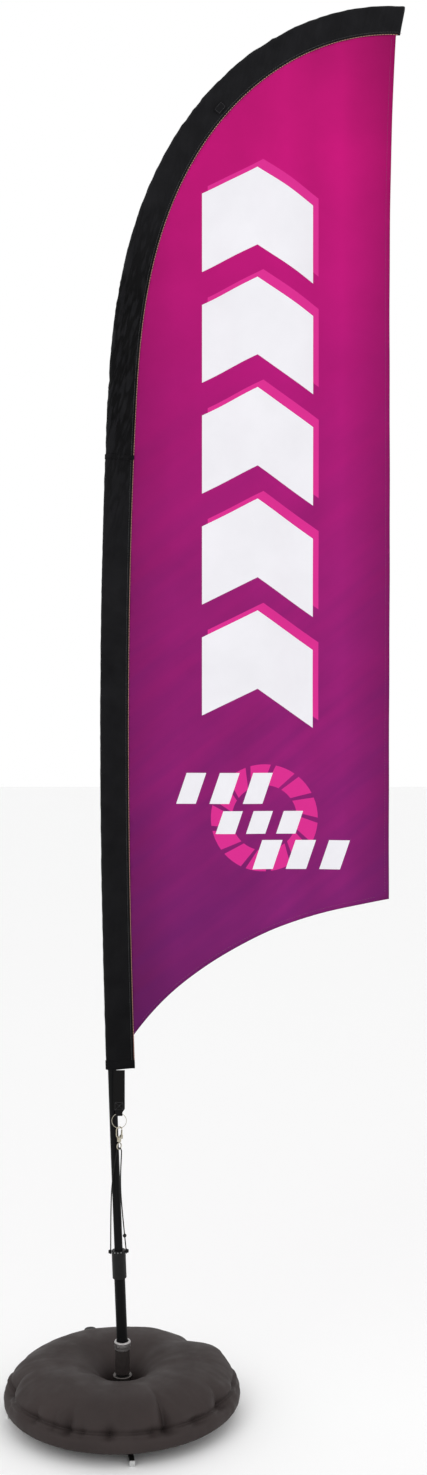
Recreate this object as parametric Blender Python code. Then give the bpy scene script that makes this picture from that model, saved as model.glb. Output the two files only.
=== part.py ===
"""Bow-shaped advertising flag on a turning pole, standing in a folding cross base under a water bag.

Metres, +Z up. The origin is on the floor under the spindle's axis, and -Y is the front.
"""
import math

import bmesh
import bpy
import numpy as np
from mathutils import Matrix, Vector

MM = 0.001
GAP = 0.3 * MM                      # clearance left between pieces that touch

# Cross base
LEG_REACH = 0.2507                  # spindle axis to the end of a leg
LEG_SIDE = 10.0 * MM                # square tube
LEG_WALL = 1.0 * MM
LEG_TURN = math.radians(8.2)        # how far the cross stands turned on the floor
JOGGLE_INNER = 23.0 * MM            # where the crossing bar starts to come down
JOGGLE_OUTER = 34.0 * MM            # where it lies on the floor again
PLUG_LIP = 3.0 * MM
PLUG_INSERT = 14.0 * MM
PLUG_STANDOUT = 0.8 * MM            # the plug's lip is this much bigger than the tube
WASHER_THICK = 0.8 * MM
SCREW_RADIUS = 2.5 * MM
SCREW_HEAD_RADIUS = 3.7 * MM
SCREW_HEAD_HEIGHT = 3.6 * MM
SCREW_LENGTH = 36.0 * MM
COVER_RADIUS = 4.8 * MM             # plug that covers the screw's way in, and stands on the floor
COVER_LIP = 0.5 * MM
COVER_HEIGHT = 2.6 * MM

# Spindle and rotor
SPINDLE_FOOT_RADIUS = 16.0 * MM
SPINDLE_BODY_RADIUS = 13.0 * MM
FLANGE_RADIUS = 21.0 * MM
FLANGE_BOTTOM = 0.0725
FLANGE_THICK = 6.0 * MM
SHAFT_RADIUS = 6.0 * MM
THRUST_WASHER_THICK = 3.0 * MM
BEARING_HEIGHT = 6.0 * MM
BEARING_SPACING = 14.5 * MM         # between the bearings' lower faces
RACE_THICK = 1.5 * MM
BALL_RADIUS = 1.1 * MM
BALLS = 7
ROTOR_WALL = 3.7 * MM
ROTOR_WEB = 2.0 * MM
CLIP_THICK = 1.0 * MM
CLIP_MOUTH = 6.0 * MM
CUP_DEPTH = 41.0 * MM
RIM_HEIGHT = 19.0 * MM
CUP_WALL = 2.9 * MM
RIM_STANDOUT = 1.9 * MM             # the rim's widest part, past the housing

# Pole: arc length is measured from its foot, and the angles are from the vertical
POLE_LENGTH = 3.307
POLE_LEAN = math.radians(2.3)       # the foot leans away from the flag
POLE_SWAY = math.radians(12.7)      # slow bend over the whole length
TIP_BEND = math.radians(82.9)       # the tip section's own bend
TIP_BEND_LENGTH = 1.207
TIP_BEND_POWER = 1.72
COARSE_STATION = 0.12               # spacing of the cross-sections along the lower pole
FINE_STATION = 0.055                # and along the bent tip
STATION_ROOM = 6.0 * MM             # sections nearer than this to a piece's end are left out
BASE_TUBE_RADIUS = 12.0 * MM
BASE_TUBE_WALL = 2.4 * MM
BASE_TUBE_TOP = 0.236
LOWER_POLE_RADIUS = 9.2 * MM
LOWER_POLE_TOP = 1.10
MIDDLE_POLE_RADIUS = 7.8 * MM
MIDDLE_POLE_TOP = 2.15
TUBE_WALL = 1.1 * MM
SPIGOT_LENGTH = 0.06
TIP_POLE_RADIUS = 3.2 * MM
FERRULE_LENGTH = 0.05
FERRULE_WALL = 0.8 * MM
TIP_CAP_LENGTH = 0.027
TIP_CAP_WALL = 1.1 * MM
COLLAR_LENGTH = 0.061
COLLAR_WALL = 3.2 * MM
COLLAR_LIP = 3.0 * MM
KNOB_STEM = 2.9 * MM
KNOB_STEM_RADIUS = 2.4 * MM
KNOB_HEAD = 3.5 * MM
KNOB_HEAD_RADIUS = 4.2 * MM
KNOB_DROP = 3.0 * MM                # below the collar's top

# Flag
SLEEVE_START = 0.638                # arc length where the sleeve's open end is
SLEEVE_SEAM = 1.985                 # where the lower and the upper sleeve meet
SLEEVE_WIDTH = 0.063
SLEEVE_WALL = 1.2 * MM
SLEEVE_EDGE = 1.7 * MM              # half thickness of the sewn edge
SLEEVE_ROOM = 2.1 * MM              # between the lower pole and the cloth
PANEL_THICK = 1.2 * MM
PANEL_START = 0.705                 # arc length where the panel's lower corner is
PANEL_EDGE = 0.5865                 # the free edge, from the spindle's axis
PANEL_EDGE_FLARE = 0.015            # how much further out the top corner is
PANEL_EDGE_FLARE_HEIGHT = 0.25
PANEL_CORNER_HEIGHT = 1.1247        # lower free corner above the floor
HEM_PULL = (0.195, 1.065)           # the lower edge curves towards this point
TAB_PLACE = 2.82                    # arc length of the stitched tab
TAB_SHARE = 0.62                    # how far it sits from the pole towards the sewn edge
TAB_SIZE = (0.026, 0.016, 1.4 * MM)
TAB_LIFT = 0.6 * MM                 # off the flat of the sleeve, which bows between its sections

# Strap, ring, snap hook and elastic
STRAP_WIDTH = 25.0 * MM
STRAP_THICK = 2.8 * MM
STRAP_END = 0.6615                  # height where the strap's loop starts
STRAP_LOOP_WIDTH = 14.0 * MM
STRAP_LOOP_WALL = 1.2 * MM
RING_RADIUS = 15.85 * MM
RING_WIRE = 1.15 * MM
TACKLE_X = -6.5 * MM                # the ring and hook hang beside the pole's axis
TACKLE_Y = -14.0 * MM               # and in front of it
RING_HEIGHT = 0.640
HOOK_TURN = math.radians(35.0)
HOOK_HALF_WIDTH = 7.0 * MM
HOOK_WIRE = 1.3 * MM
HOOK_DEPTH = 14.0 * MM              # from the top arc's centre down to the shoulder
GATE_PIN_RADIUS = 0.7 * MM
GATE_PIN_OUT = 6.0 * MM             # from the barrel's axis to the gate's pin
GATE_PIN_UP = 2.2 * MM              # and above the barrel's top
GATE_PIN_HALF = 2.6 * MM            # half the pin's length
GATE_WIDTH = 2.2 * MM
GATE_EYE_RADIUS = 1.9 * MM          # round the pin
GATE_TIP_HALF = 1.1 * MM            # half the gate's thickness at its nose
GATE_WAY_DROP = 0.14 * MM           # how far under the pin's middle the gate's room starts
GATE_SWING = 3.4 * MM               # room inside the cheeks for the gate to lean into
BOW_END = 12.0                      # degrees above the bow's centre where the wire stops
CHEEK_INNER = 2.9 * MM
CHEEK_BOTTOM = -4.0 * MM
SLOT_ROOM = 0.5 * MM                # between the gate's eye and the slot
SLOT_REACH = 20.0 * MM              # the slot runs out through the side
BARREL_RADIUS = 4.5 * MM
BARREL_HEIGHT = 10.0 * MM
STEM_RADIUS = 1.6 * MM
STEM_HEAD_RADIUS = 2.6 * MM
EYE_TURN = math.radians(55.0)
EYE_RADIUS = 7.2 * MM
EYE_WIRE = 1.25 * MM
CORD_RADIUS = 1.3 * MM
BEAD_RADIUS = 4.2 * MM
BEAD_HEIGHT = 0.390

# Water bag
BAG_OUTER = 0.257
BAG_INNER = 0.039
BAG_SEAM_HEIGHT = 0.034
BAG_CROWN = 0.078                   # the crown above the seam
BAG_FLATNESS = 4.0                  # how square the underside is
FILLER_PLACE = (0.205, math.radians(115.0))
FILLER_FLOOR = 0.0800
FILLER_RADIUS = 11.0 * MM
FILLER_WALL = 2.5 * MM
FILLER_FLANGE_RADIUS = 16.0 * MM
FILLER_HEIGHT = 16.5 * MM
CAP_RADIUS = 14.0 * MM
CAP_HEIGHT = 17.0 * MM
CAP_TOP = 3.4 * MM
GASKET_THICK = 1.2 * MM

# Heights that follow from the sizes above
LEG_TOP = PLUG_STANDOUT + LEG_SIDE
CROSS_BOTTOM = LEG_TOP + GAP + WASHER_THICK + GAP
CROSS_TOP = CROSS_BOTTOM + LEG_SIDE
SPINDLE_BOTTOM = CROSS_TOP + GAP
FLANGE_TOP = FLANGE_BOTTOM + FLANGE_THICK
ROTOR_BOTTOM = FLANGE_TOP + GAP + THRUST_WASHER_THICK + GAP
BEARING_BOTTOM = ROTOR_BOTTOM + 1.4 * MM
BEARING_TOP = BEARING_BOTTOM + BEARING_SPACING + BEARING_HEIGHT
CLIP_BOTTOM = BEARING_TOP + GAP
SHAFT_TOP = CLIP_BOTTOM + CLIP_THICK + 3.0 * MM
WEB_BOTTOM = SHAFT_TOP + 2.0 * MM
CUP_FLOOR = WEB_BOTTOM + ROTOR_WEB
CUP_TOP = CUP_FLOOR + CUP_DEPTH
RIM_BOTTOM = CUP_TOP - RIM_HEIGHT
INNER_RACE_RADIUS = SHAFT_RADIUS + GAP + RACE_THICK
BALL_CIRCLE = INNER_RACE_RADIUS + GAP + BALL_RADIUS
OUTER_RACE_BORE = BALL_CIRCLE + BALL_RADIUS + GAP
ROTOR_BORE = OUTER_RACE_BORE + RACE_THICK + GAP
POLE_TILT_ROOM = math.sin(POLE_LEAN)
POLE_FOOT = CUP_FLOOR + GAP + BASE_TUBE_RADIUS * POLE_TILT_ROOM
CUP_BORE = BASE_TUBE_RADIUS + GAP + CUP_DEPTH * POLE_TILT_ROOM / 2
ROTOR_RADIUS = max(ROTOR_BORE + ROTOR_WALL, CUP_BORE + CUP_WALL)
RIM_RADIUS = ROTOR_RADIUS + RIM_STANDOUT
COLLAR_RADIUS = BASE_TUBE_RADIUS + GAP + COLLAR_WALL
COLLAR_TOP = BASE_TUBE_TOP + GAP + COLLAR_LIP
KNOB_PLACE = COLLAR_TOP - KNOB_DROP
BAG_BOTTOM = LEG_TOP + GAP
HOOK_ARC_HEIGHT = RING_HEIGHT - RING_RADIUS + RING_WIRE + GAP - (HOOK_HALF_WIDTH - HOOK_WIRE)
BARREL_TOP = HOOK_ARC_HEIGHT - HOOK_DEPTH - 1.8 * MM
BARREL_BOTTOM = BARREL_TOP - BARREL_HEIGHT
EYE_HEIGHT = BARREL_BOTTOM - 1.0 * MM - EYE_RADIUS - EYE_WIRE

PLACES = {None: Vector((0.0, 0.0, 0.0))}


# ---------------------------------------------------------------- scene helpers

def clear_scene():
    for old in list(bpy.data.objects):
        bpy.data.objects.remove(old, do_unlink=True)


def material(name, colour, roughness, metallic=0.0):
    found = bpy.data.materials.get(name)
    if found:
        return found
    made = bpy.data.materials.new(name)
    made.use_nodes = True
    shader = made.node_tree.nodes["Principled BSDF"]
    shader.inputs["Base Color"].default_value = (*colour, 1.0)
    shader.inputs["Roughness"].default_value = roughness
    shader.inputs["Metallic"].default_value = metallic
    made.diffuse_color = (*colour, 1.0)
    return made


def black_steel():
    return material("black_steel", (0.012, 0.012, 0.013), 0.42, 0.3)


def bright_steel():
    return material("bright_steel", (0.55, 0.55, 0.56), 0.28, 1.0)


def chrome():
    return material("chrome", (0.72, 0.72, 0.74), 0.12, 1.0)


def grey_plastic():
    return material("pale_grey_plastic", (0.48, 0.49, 0.49), 0.5)


def black_plastic():
    return material("black_plastic", (0.013, 0.013, 0.013), 0.45)


def black_fibreglass():
    return material("black_fibreglass", (0.010, 0.010, 0.011), 0.38)


def bag_vinyl():
    return material("bag_vinyl", (0.052, 0.042, 0.042), 0.55)


def sleeve_cloth():
    return material("sleeve_cloth", (0.011, 0.011, 0.012), 0.9)


def panel_cloth():
    return material("panel_cloth", (0.33, 0.017, 0.14), 0.75)


def strap_webbing():
    return material("strap_webbing", (0.008, 0.008, 0.008), 0.85)


def nickel():
    return material("nickel", (0.62, 0.61, 0.57), 0.22, 1.0)


def elastic():
    return material("elastic_braid", (0.010, 0.010, 0.010), 0.8)


def rubber():
    return material("black_rubber", (0.015, 0.015, 0.015), 0.8)


def pivot(name, place, parent=None):
    """An empty on a joint's axis."""
    empty = bpy.data.objects.new(name, None)
    bpy.context.scene.collection.objects.link(empty)
    put(empty, place, parent)
    PLACES[name] = Vector(place)
    return empty


def put(obj, place=(0.0, 0.0, 0.0), parent=None, turn=(0.0, 0.0, 0.0)):
    """Set an object down at a place in the model's frame, under a parent empty."""
    obj.parent = parent
    obj.location = Vector(place) - PLACES[parent.name if parent else None]
    obj.rotation_euler = turn
    return obj


def piece(name, bm, finish, smooth=35.0):
    """Turn a bmesh into the named object."""
    bmesh.ops.remove_doubles(bm, verts=bm.verts, dist=1e-6)
    bmesh.ops.recalc_face_normals(bm, faces=bm.faces)
    mesh = bpy.data.meshes.new(name)
    bm.to_mesh(mesh)
    bm.free()
    mesh.materials.append(finish)
    if smooth:
        mesh.shade_smooth()
        mesh.set_sharp_from_angle(angle=math.radians(smooth))
    obj = bpy.data.objects.new(name, mesh)
    bpy.context.scene.collection.objects.link(obj)
    return obj


def turned(name, outline, finish, steps=24, smooth=40.0):
    """Spin an outline of (radius, height) points about Z; a closed ring unless it ends on the axis."""
    bm = bmesh.new()
    verts = [bm.verts.new((radius, 0.0, height)) for radius, height in outline]
    edges = [bm.edges.new(pair) for pair in zip(verts, verts[1:])]
    if outline[0][0] > 0.0:
        edges.append(bm.edges.new((verts[-1], verts[0])))
    bmesh.ops.spin(bm, geom=verts + edges, cent=(0, 0, 0), axis=(0, 0, 1), angle=math.tau, steps=steps)
    return piece(name, bm, finish, smooth)


def tube_outline(inner, outer, low, high):
    return [(inner, low), (outer, low), (outer, high), (inner, high)]


def lofted(name, rings, finish, loop=False, smooth=35.0):
    """Skin a row of equal rings of points; a loop joins the last ring to the first."""
    bm = bmesh.new()
    rows = [[bm.verts.new(point) for point in ring] for ring in rings]
    pairs = list(zip(rows, rows[1:]))
    if loop:
        pairs.append((rows[-1], rows[0]))
    else:
        bm.faces.new(rows[0])
        bm.faces.new(rows[-1])
    count = len(rings[0])
    for row, following in pairs:
        for i in range(count):
            j = (i + 1) % count
            bm.faces.new((row[i], row[j], following[j], following[i]))
    return piece(name, bm, finish, smooth)


def box(name, low, high, finish):
    bm = bmesh.new()
    bmesh.ops.create_cube(bm, size=1.0)
    low, high = Vector(low), Vector(high)
    for vert in bm.verts:
        vert.co = [low[k] + (vert.co[k] + 0.5) * (high[k] - low[k]) for k in range(3)]
    return piece(name, bm, finish, smooth=0.0)


def combine(obj, other, operation):
    """Boolean the other object into this one, and hide the other as a cutter."""
    other.hide_render = True
    other.display_type = 'WIRE'
    change = obj.modifiers.new(other.name, 'BOOLEAN')
    change.operation = operation
    change.object = other
    change.solver = 'EXACT'
    return obj


def drill(obj, name, radius, low, high, parent, steps=20, centre=(0.0, 0.0)):
    cutter = turned(name, [(0, low), (radius, low), (radius, high), (0, high)], black_steel(), steps)
    put(cutter, (centre[0], centre[1], 0.0), parent)
    return combine(obj, cutter, 'DIFFERENCE')


# ---------------------------------------------------------------- the pole's bent line

def pole_line():
    """Arc length, X, Z and the angle from the vertical along the pole's centre."""
    steps = 1600
    length = np.linspace(0.0, POLE_LENGTH, steps + 1)
    into_tip = np.clip(1.0 - (POLE_LENGTH - length) / TIP_BEND_LENGTH, 0.0, None)
    angle = -POLE_LEAN + POLE_SWAY * (length / POLE_LENGTH) ** 2 + TIP_BEND * into_tip ** TIP_BEND_POWER
    middle = (angle[1:] + angle[:-1]) / 2
    step = POLE_LENGTH / steps
    start_x = math.tan(POLE_LEAN) * CUP_DEPTH / 2
    x = start_x + np.concatenate([[0.0], np.cumsum(np.sin(middle)) * step])
    z = POLE_FOOT + np.concatenate([[0.0], np.cumsum(np.cos(middle)) * step])
    return length, x, z, angle


LINE = pole_line()


def pole_at(place, inward=0.0, across=0.0):
    """A point beside the pole: inward is towards the flag, across is along Y."""
    length, xs, zs, angles = LINE
    angle = float(np.interp(place, length, angles))
    beyond = place - POLE_LENGTH if place > POLE_LENGTH else 0.0
    x = float(np.interp(place, length, xs)) + math.sin(angle) * beyond
    z = float(np.interp(place, length, zs)) + math.cos(angle) * beyond
    return Vector((x + math.cos(angle) * inward, across, z - math.sin(angle) * inward))


def pole_angle(place):
    return float(np.interp(place, LINE[0], LINE[3]))


def pole_height_place(height):
    """Arc length where the lower pole passes a height."""
    return float(np.interp(height, LINE[2], LINE[0]))


def pole_grid():
    """Arc lengths of the sections that all pieces on the pole share: closer together where it bends."""
    bend_start = POLE_LENGTH - TIP_BEND_LENGTH - 2 * FINE_STATION
    coarse = math.floor(bend_start / COARSE_STATION)
    grid = [COARSE_STATION * i for i in range(coarse + 1)]
    while grid[-1] < POLE_LENGTH:
        grid.append(grid[-1] + FINE_STATION)
    marks = [POLE_LENGTH - TIP_CAP_LENGTH]
    for top in (LOWER_POLE_TOP, MIDDLE_POLE_TOP):
        marks += [top - SPIGOT_LENGTH, top - FERRULE_LENGTH, top]
    clear = [place for place in grid if all(abs(place - mark) > STATION_ROOM for mark in marks)]
    return sorted(clear + marks)


GRID = pole_grid()


def stations(start, end):
    """The shared sections between two arc lengths, with those two at the ends."""
    return [start] + [place for place in GRID if start + STATION_ROOM < place < end - STATION_ROOM] + [end]


def pole_ring(place, radius, steps):
    return [pole_at(place, math.cos(a) * radius, math.sin(a) * radius)
            for a in (math.tau * i / steps for i in range(steps))]


def pole_tube(name, start, end, outer, inner, finish, steps=16):
    """A hollow tube along the pole's line; outer and inner are radii."""
    places = stations(start, end)
    rings = [pole_ring(place, outer, steps) for place in places]
    rings += [pole_ring(place, inner, steps) for place in reversed(places)]
    return lofted(name, rings, finish, loop=True, smooth=50.0)


def pole_turned(name, outline, finish, steps=16, loop=False):
    """Rings of (arc length, radius) about the pole's line."""
    return lofted(name, [pole_ring(place, radius, steps) for place, radius in outline], finish, loop)


# ---------------------------------------------------------------- cross base

def leg_section(size):
    half = size / 2
    return [(-half, -half), (half, -half), (half, half), (-half, half)]


def leg_bar(name, route, finish, turn):
    """A square tube along a route of (reach, centre height) points, open at both ends."""
    rings = []
    for size, points in ((LEG_SIDE, route), (LEG_SIDE - 2 * LEG_WALL, route[::-1])):
        for reach, height in points:
            rings.append([(reach, across, height + up) for across, up in leg_section(size)])
    bar = lofted(name, rings, finish, loop=True, smooth=0.0)
    return put(bar, turn=(0.0, 0.0, turn))


def leg_plug(name, turn, parent):
    """End plug: a lip against the tube's end and a block inside it."""
    bore = LEG_SIDE / 2 - LEG_WALL - GAP
    lip = LEG_SIDE / 2 + PLUG_STANDOUT
    end = LEG_REACH
    centre = PLUG_STANDOUT + LEG_SIDE / 2
    rings = []
    for reach, half in ((end - PLUG_LIP - PLUG_INSERT, bore), (end - PLUG_LIP, bore),
                        (end - PLUG_LIP, lip), (end - 0.8 * MM, lip), (end, lip - 0.8 * MM)):
        rings.append([(reach, across, centre + up) for across, up in leg_section(2 * half)])
    plug = lofted(name, rings, grey_plastic(), smooth=0.0)
    return put(plug, parent=parent, turn=(0.0, 0.0, turn))


def build_cross_base(fold):
    centre = PLUG_STANDOUT + LEG_SIDE / 2
    over = CROSS_BOTTOM + LEG_SIDE / 2
    end = LEG_REACH - PLUG_LIP - GAP
    front = LEG_TURN - math.pi / 2

    lower = leg_bar("lower_leg_bar", [(-end, centre), (end, centre)], black_steel(), front)
    drill(lower, "screw_way_lower", SCREW_RADIUS + GAP, 0.0, 2 * LEG_TOP, None)
    drill(lower, "screw_head_way", SCREW_HEAD_RADIUS + GAP, -LEG_WALL, PLUG_STANDOUT + 2 * LEG_WALL, None)

    route = [(-end, centre), (-JOGGLE_OUTER, centre), (-JOGGLE_INNER, over),
             (JOGGLE_INNER, over), (JOGGLE_OUTER, centre), (end, centre)]
    upper = leg_bar("upper_leg_bar", route, black_steel(), LEG_TURN)
    upper.parent = fold
    drill(upper, "screw_way_upper", SCREW_RADIUS + GAP, LEG_TOP, 2 * CROSS_TOP, fold)

    leg_plug("front_leg_plug", front, None)
    leg_plug("rear_leg_plug", front + math.pi, None)
    leg_plug("right_leg_plug", LEG_TURN, fold)
    leg_plug("left_leg_plug", LEG_TURN + math.pi, fold)

    washer = turned("pivot_washer", tube_outline(SCREW_RADIUS + GAP, LEG_SIDE * 0.48, 0.0, WASHER_THICK),
                    black_plastic(), 20)
    put(washer, (0, 0, LEG_TOP + GAP))

    bore = SCREW_HEAD_RADIUS
    turned("screw_cover", [(0, 0), (COVER_RADIUS, 0), (COVER_RADIUS, COVER_LIP), (bore, COVER_LIP),
                           (bore, COVER_HEIGHT), (0, COVER_HEIGHT)], grey_plastic(), 20)

    head_top = LEG_TOP - LEG_WALL - GAP
    screw = turned("pivot_screw", [
        (0, -SCREW_HEAD_HEIGHT), (SCREW_HEAD_RADIUS, -SCREW_HEAD_HEIGHT), (SCREW_HEAD_RADIUS, 0),
        (SCREW_RADIUS, 0), (SCREW_RADIUS, SCREW_LENGTH), (0, SCREW_LENGTH)], bright_steel(), 16)
    put(screw, (0, 0, head_top))


# ---------------------------------------------------------------- spindle and rotor

def build_spindle():
    screw_end = LEG_TOP - LEG_WALL - GAP + SCREW_LENGTH + GAP
    groove = SHAFT_RADIUS - 1.0 * MM
    clip_top = CLIP_BOTTOM + CLIP_THICK
    step = SPINDLE_BOTTOM + 8.0 * MM
    turned("spindle", [
        (SCREW_RADIUS + GAP, SPINDLE_BOTTOM), (SPINDLE_FOOT_RADIUS, SPINDLE_BOTTOM),
        (SPINDLE_FOOT_RADIUS, step), (SPINDLE_BODY_RADIUS, step + 3.0 * MM),
        (SPINDLE_BODY_RADIUS, FLANGE_BOTTOM), (FLANGE_RADIUS, FLANGE_BOTTOM),
        (FLANGE_RADIUS, FLANGE_TOP - 1.0 * MM), (FLANGE_RADIUS - 1.0 * MM, FLANGE_TOP),
        (SHAFT_RADIUS, FLANGE_TOP), (SHAFT_RADIUS, CLIP_BOTTOM - GAP), (groove, CLIP_BOTTOM - GAP),
        (groove, clip_top + GAP), (SHAFT_RADIUS, clip_top + GAP), (SHAFT_RADIUS, SHAFT_TOP),
        (SHAFT_RADIUS * 0.3, SHAFT_TOP), (SHAFT_RADIUS * 0.3, screw_end + 12.0 * MM),
        (SCREW_RADIUS + GAP, screw_end + 6.0 * MM)], bright_steel(), 24)

    washer = turned("thrust_washer",
                    tube_outline(SHAFT_RADIUS + GAP, ROTOR_BORE + 2.0 * MM, 0.0, THRUST_WASHER_THICK),
                    black_plastic(), 24)
    put(washer, (0, 0, FLANGE_TOP + GAP))

    clip = turned("retaining_clip", tube_outline(groove + GAP, SHAFT_RADIUS + 1.6 * MM, 0.0, CLIP_THICK),
                  bright_steel(), 20)
    put(clip, (0, 0, CLIP_BOTTOM))
    half = CLIP_MOUTH / 2
    mouth = box("clip_mouth", (0.0, -half, -CLIP_THICK), (2 * SHAFT_RADIUS, half, 2 * CLIP_THICK),
                bright_steel())
    put(mouth, (0, 0, CLIP_BOTTOM))
    combine(clip, mouth, 'DIFFERENCE')


def ball_cage(name, height, parent):
    """Balls held in a thin ring: one body."""
    cage_half = BALL_RADIUS * 0.45
    cage = turned(name, tube_outline(BALL_CIRCLE - cage_half, BALL_CIRCLE + cage_half,
                                     -cage_half, cage_half), bright_steel(), 2 * BALLS)
    put(cage, (0, 0, height + BEARING_HEIGHT / 2), parent)
    bm = bmesh.new()
    for i in range(BALLS):
        angle = math.tau * i / BALLS
        at = Matrix.Translation((math.cos(angle) * BALL_CIRCLE, math.sin(angle) * BALL_CIRCLE, 0.0))
        bmesh.ops.create_uvsphere(bm, u_segments=6, v_segments=4, radius=BALL_RADIUS, matrix=at)
    balls = piece(name + "_balls", bm, bright_steel())
    put(balls, (0, 0, height + BEARING_HEIGHT / 2), parent)
    return combine(cage, balls, 'UNION')


def build_bearings(rotor):
    for name, height in (("lower_bearing", BEARING_BOTTOM),
                         ("upper_bearing", BEARING_BOTTOM + BEARING_SPACING)):
        inner = turned(name + "_inner_race",
                       tube_outline(SHAFT_RADIUS + GAP, INNER_RACE_RADIUS, 0.0, BEARING_HEIGHT),
                       bright_steel(), 20)
        put(inner, (0, 0, height))
        outer = turned(name + "_outer_race",
                       tube_outline(OUTER_RACE_BORE, OUTER_RACE_BORE + RACE_THICK, 0.0, BEARING_HEIGHT),
                       bright_steel(), 20)
        put(outer, (0, 0, height), rotor)
        ball_cage(name + "_ball_cage", height, None)
    spacer = turned("bearing_spacer",
                    tube_outline(SHAFT_RADIUS + GAP, INNER_RACE_RADIUS, 0.0,
                                 BEARING_SPACING - BEARING_HEIGHT - 2 * GAP), bright_steel(), 20)
    put(spacer, (0, 0, BEARING_BOTTOM + BEARING_HEIGHT + GAP))


def build_rotor(rotor):
    housing = turned("rotor_housing", [
        (ROTOR_BORE, ROTOR_BOTTOM), (ROTOR_RADIUS - 1.0 * MM, ROTOR_BOTTOM),
        (ROTOR_RADIUS, ROTOR_BOTTOM + 1.0 * MM), (ROTOR_RADIUS, RIM_BOTTOM - GAP),
        (CUP_BORE, RIM_BOTTOM - GAP), (CUP_BORE, CUP_FLOOR), (1.5 * MM, CUP_FLOOR),
        (1.5 * MM, WEB_BOTTOM), (ROTOR_BORE, WEB_BOTTOM)], black_plastic(), 32)
    put(housing, parent=rotor)
    step = RIM_BOTTOM + 5.5 * MM
    rim = turned("cup_rim", [
        (CUP_BORE, RIM_BOTTOM), (ROTOR_RADIUS - 0.4 * MM, RIM_BOTTOM),
        (ROTOR_RADIUS + 0.4 * MM, RIM_BOTTOM + 0.8 * MM),
        (ROTOR_RADIUS + 0.4 * MM, step), (RIM_RADIUS - 0.7 * MM, step + 1.2 * MM),
        (RIM_RADIUS, step + 2.6 * MM), (RIM_RADIUS, CUP_TOP - 3.0 * MM),
        (RIM_RADIUS - 0.9 * MM, CUP_TOP - 0.9 * MM), (RIM_RADIUS - 2.4 * MM, CUP_TOP),
        (CUP_BORE + 1.0 * MM, CUP_TOP), (CUP_BORE, CUP_TOP - 1.4 * MM)], chrome(), 32)
    put(rim, parent=rotor)


# ---------------------------------------------------------------- water bag

def bag_outline():
    """(radius, height) points round the filled ring's cross-section."""
    middle = (BAG_OUTER + BAG_INNER) / 2
    half = (BAG_OUTER - BAG_INNER) / 2
    points = []
    for i in range(10):
        angle = math.pi * i / 10
        points.append((middle + half * math.cos(angle), BAG_SEAM_HEIGHT + BAG_CROWN * math.sin(angle)))
    depth = BAG_SEAM_HEIGHT - BAG_BOTTOM
    for i in range(8):
        angle = math.pi * i / 8
        power = 2 / BAG_FLATNESS
        out = -math.copysign(abs(math.cos(angle)) ** power, math.cos(angle))
        down = math.sin(angle) ** power
        points.append((middle + half * out, BAG_SEAM_HEIGHT - depth * down))
    return points


def build_bag(bag_body, cap_axis):
    bag = turned("water_bag", bag_outline(), bag_vinyl(), 44, smooth=60.0)
    put(bag, parent=bag_body)
    reach, bearing = FILLER_PLACE
    at = (reach * math.cos(bearing), reach * math.sin(bearing))
    drill(bag, "filler_pocket", FILLER_FLANGE_RADIUS + 1.0 * MM, FILLER_FLOOR, FILLER_FLOOR + 0.1, bag_body,
          24, at)

    neck_bottom = FILLER_FLOOR + GAP
    neck_top = neck_bottom + FILLER_HEIGHT
    neck = turned("filler_neck", [
        (FILLER_RADIUS - FILLER_WALL, 0), (FILLER_FLANGE_RADIUS, 0), (FILLER_FLANGE_RADIUS, 2.0 * MM),
        (FILLER_RADIUS, 2.0 * MM), (FILLER_RADIUS, FILLER_HEIGHT),
        (FILLER_RADIUS - FILLER_WALL, FILLER_HEIGHT)], black_plastic(), 20)
    put(neck, (*at, neck_bottom), bag_body)
    gasket = turned("cap_gasket",
                    tube_outline(FILLER_RADIUS - FILLER_WALL, FILLER_RADIUS - GAP, 0.0, GASKET_THICK),
                    rubber(), 20)
    put(gasket, (*at, neck_top + GAP), cap_axis)
    inside = GASKET_THICK + 2 * GAP
    skirt = CAP_HEIGHT - CAP_TOP
    cap = turned("filler_cap", [
        (0, inside), (FILLER_RADIUS + GAP, inside), (FILLER_RADIUS + GAP, inside - skirt),
        (CAP_RADIUS, inside - skirt), (CAP_RADIUS, inside + CAP_TOP - 1.0 * MM),
        (CAP_RADIUS - 1.0 * MM, inside + CAP_TOP), (0, inside + CAP_TOP)], black_plastic(), 24)
    put(cap, (*at, neck_top), cap_axis)


# ---------------------------------------------------------------- pole

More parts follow.
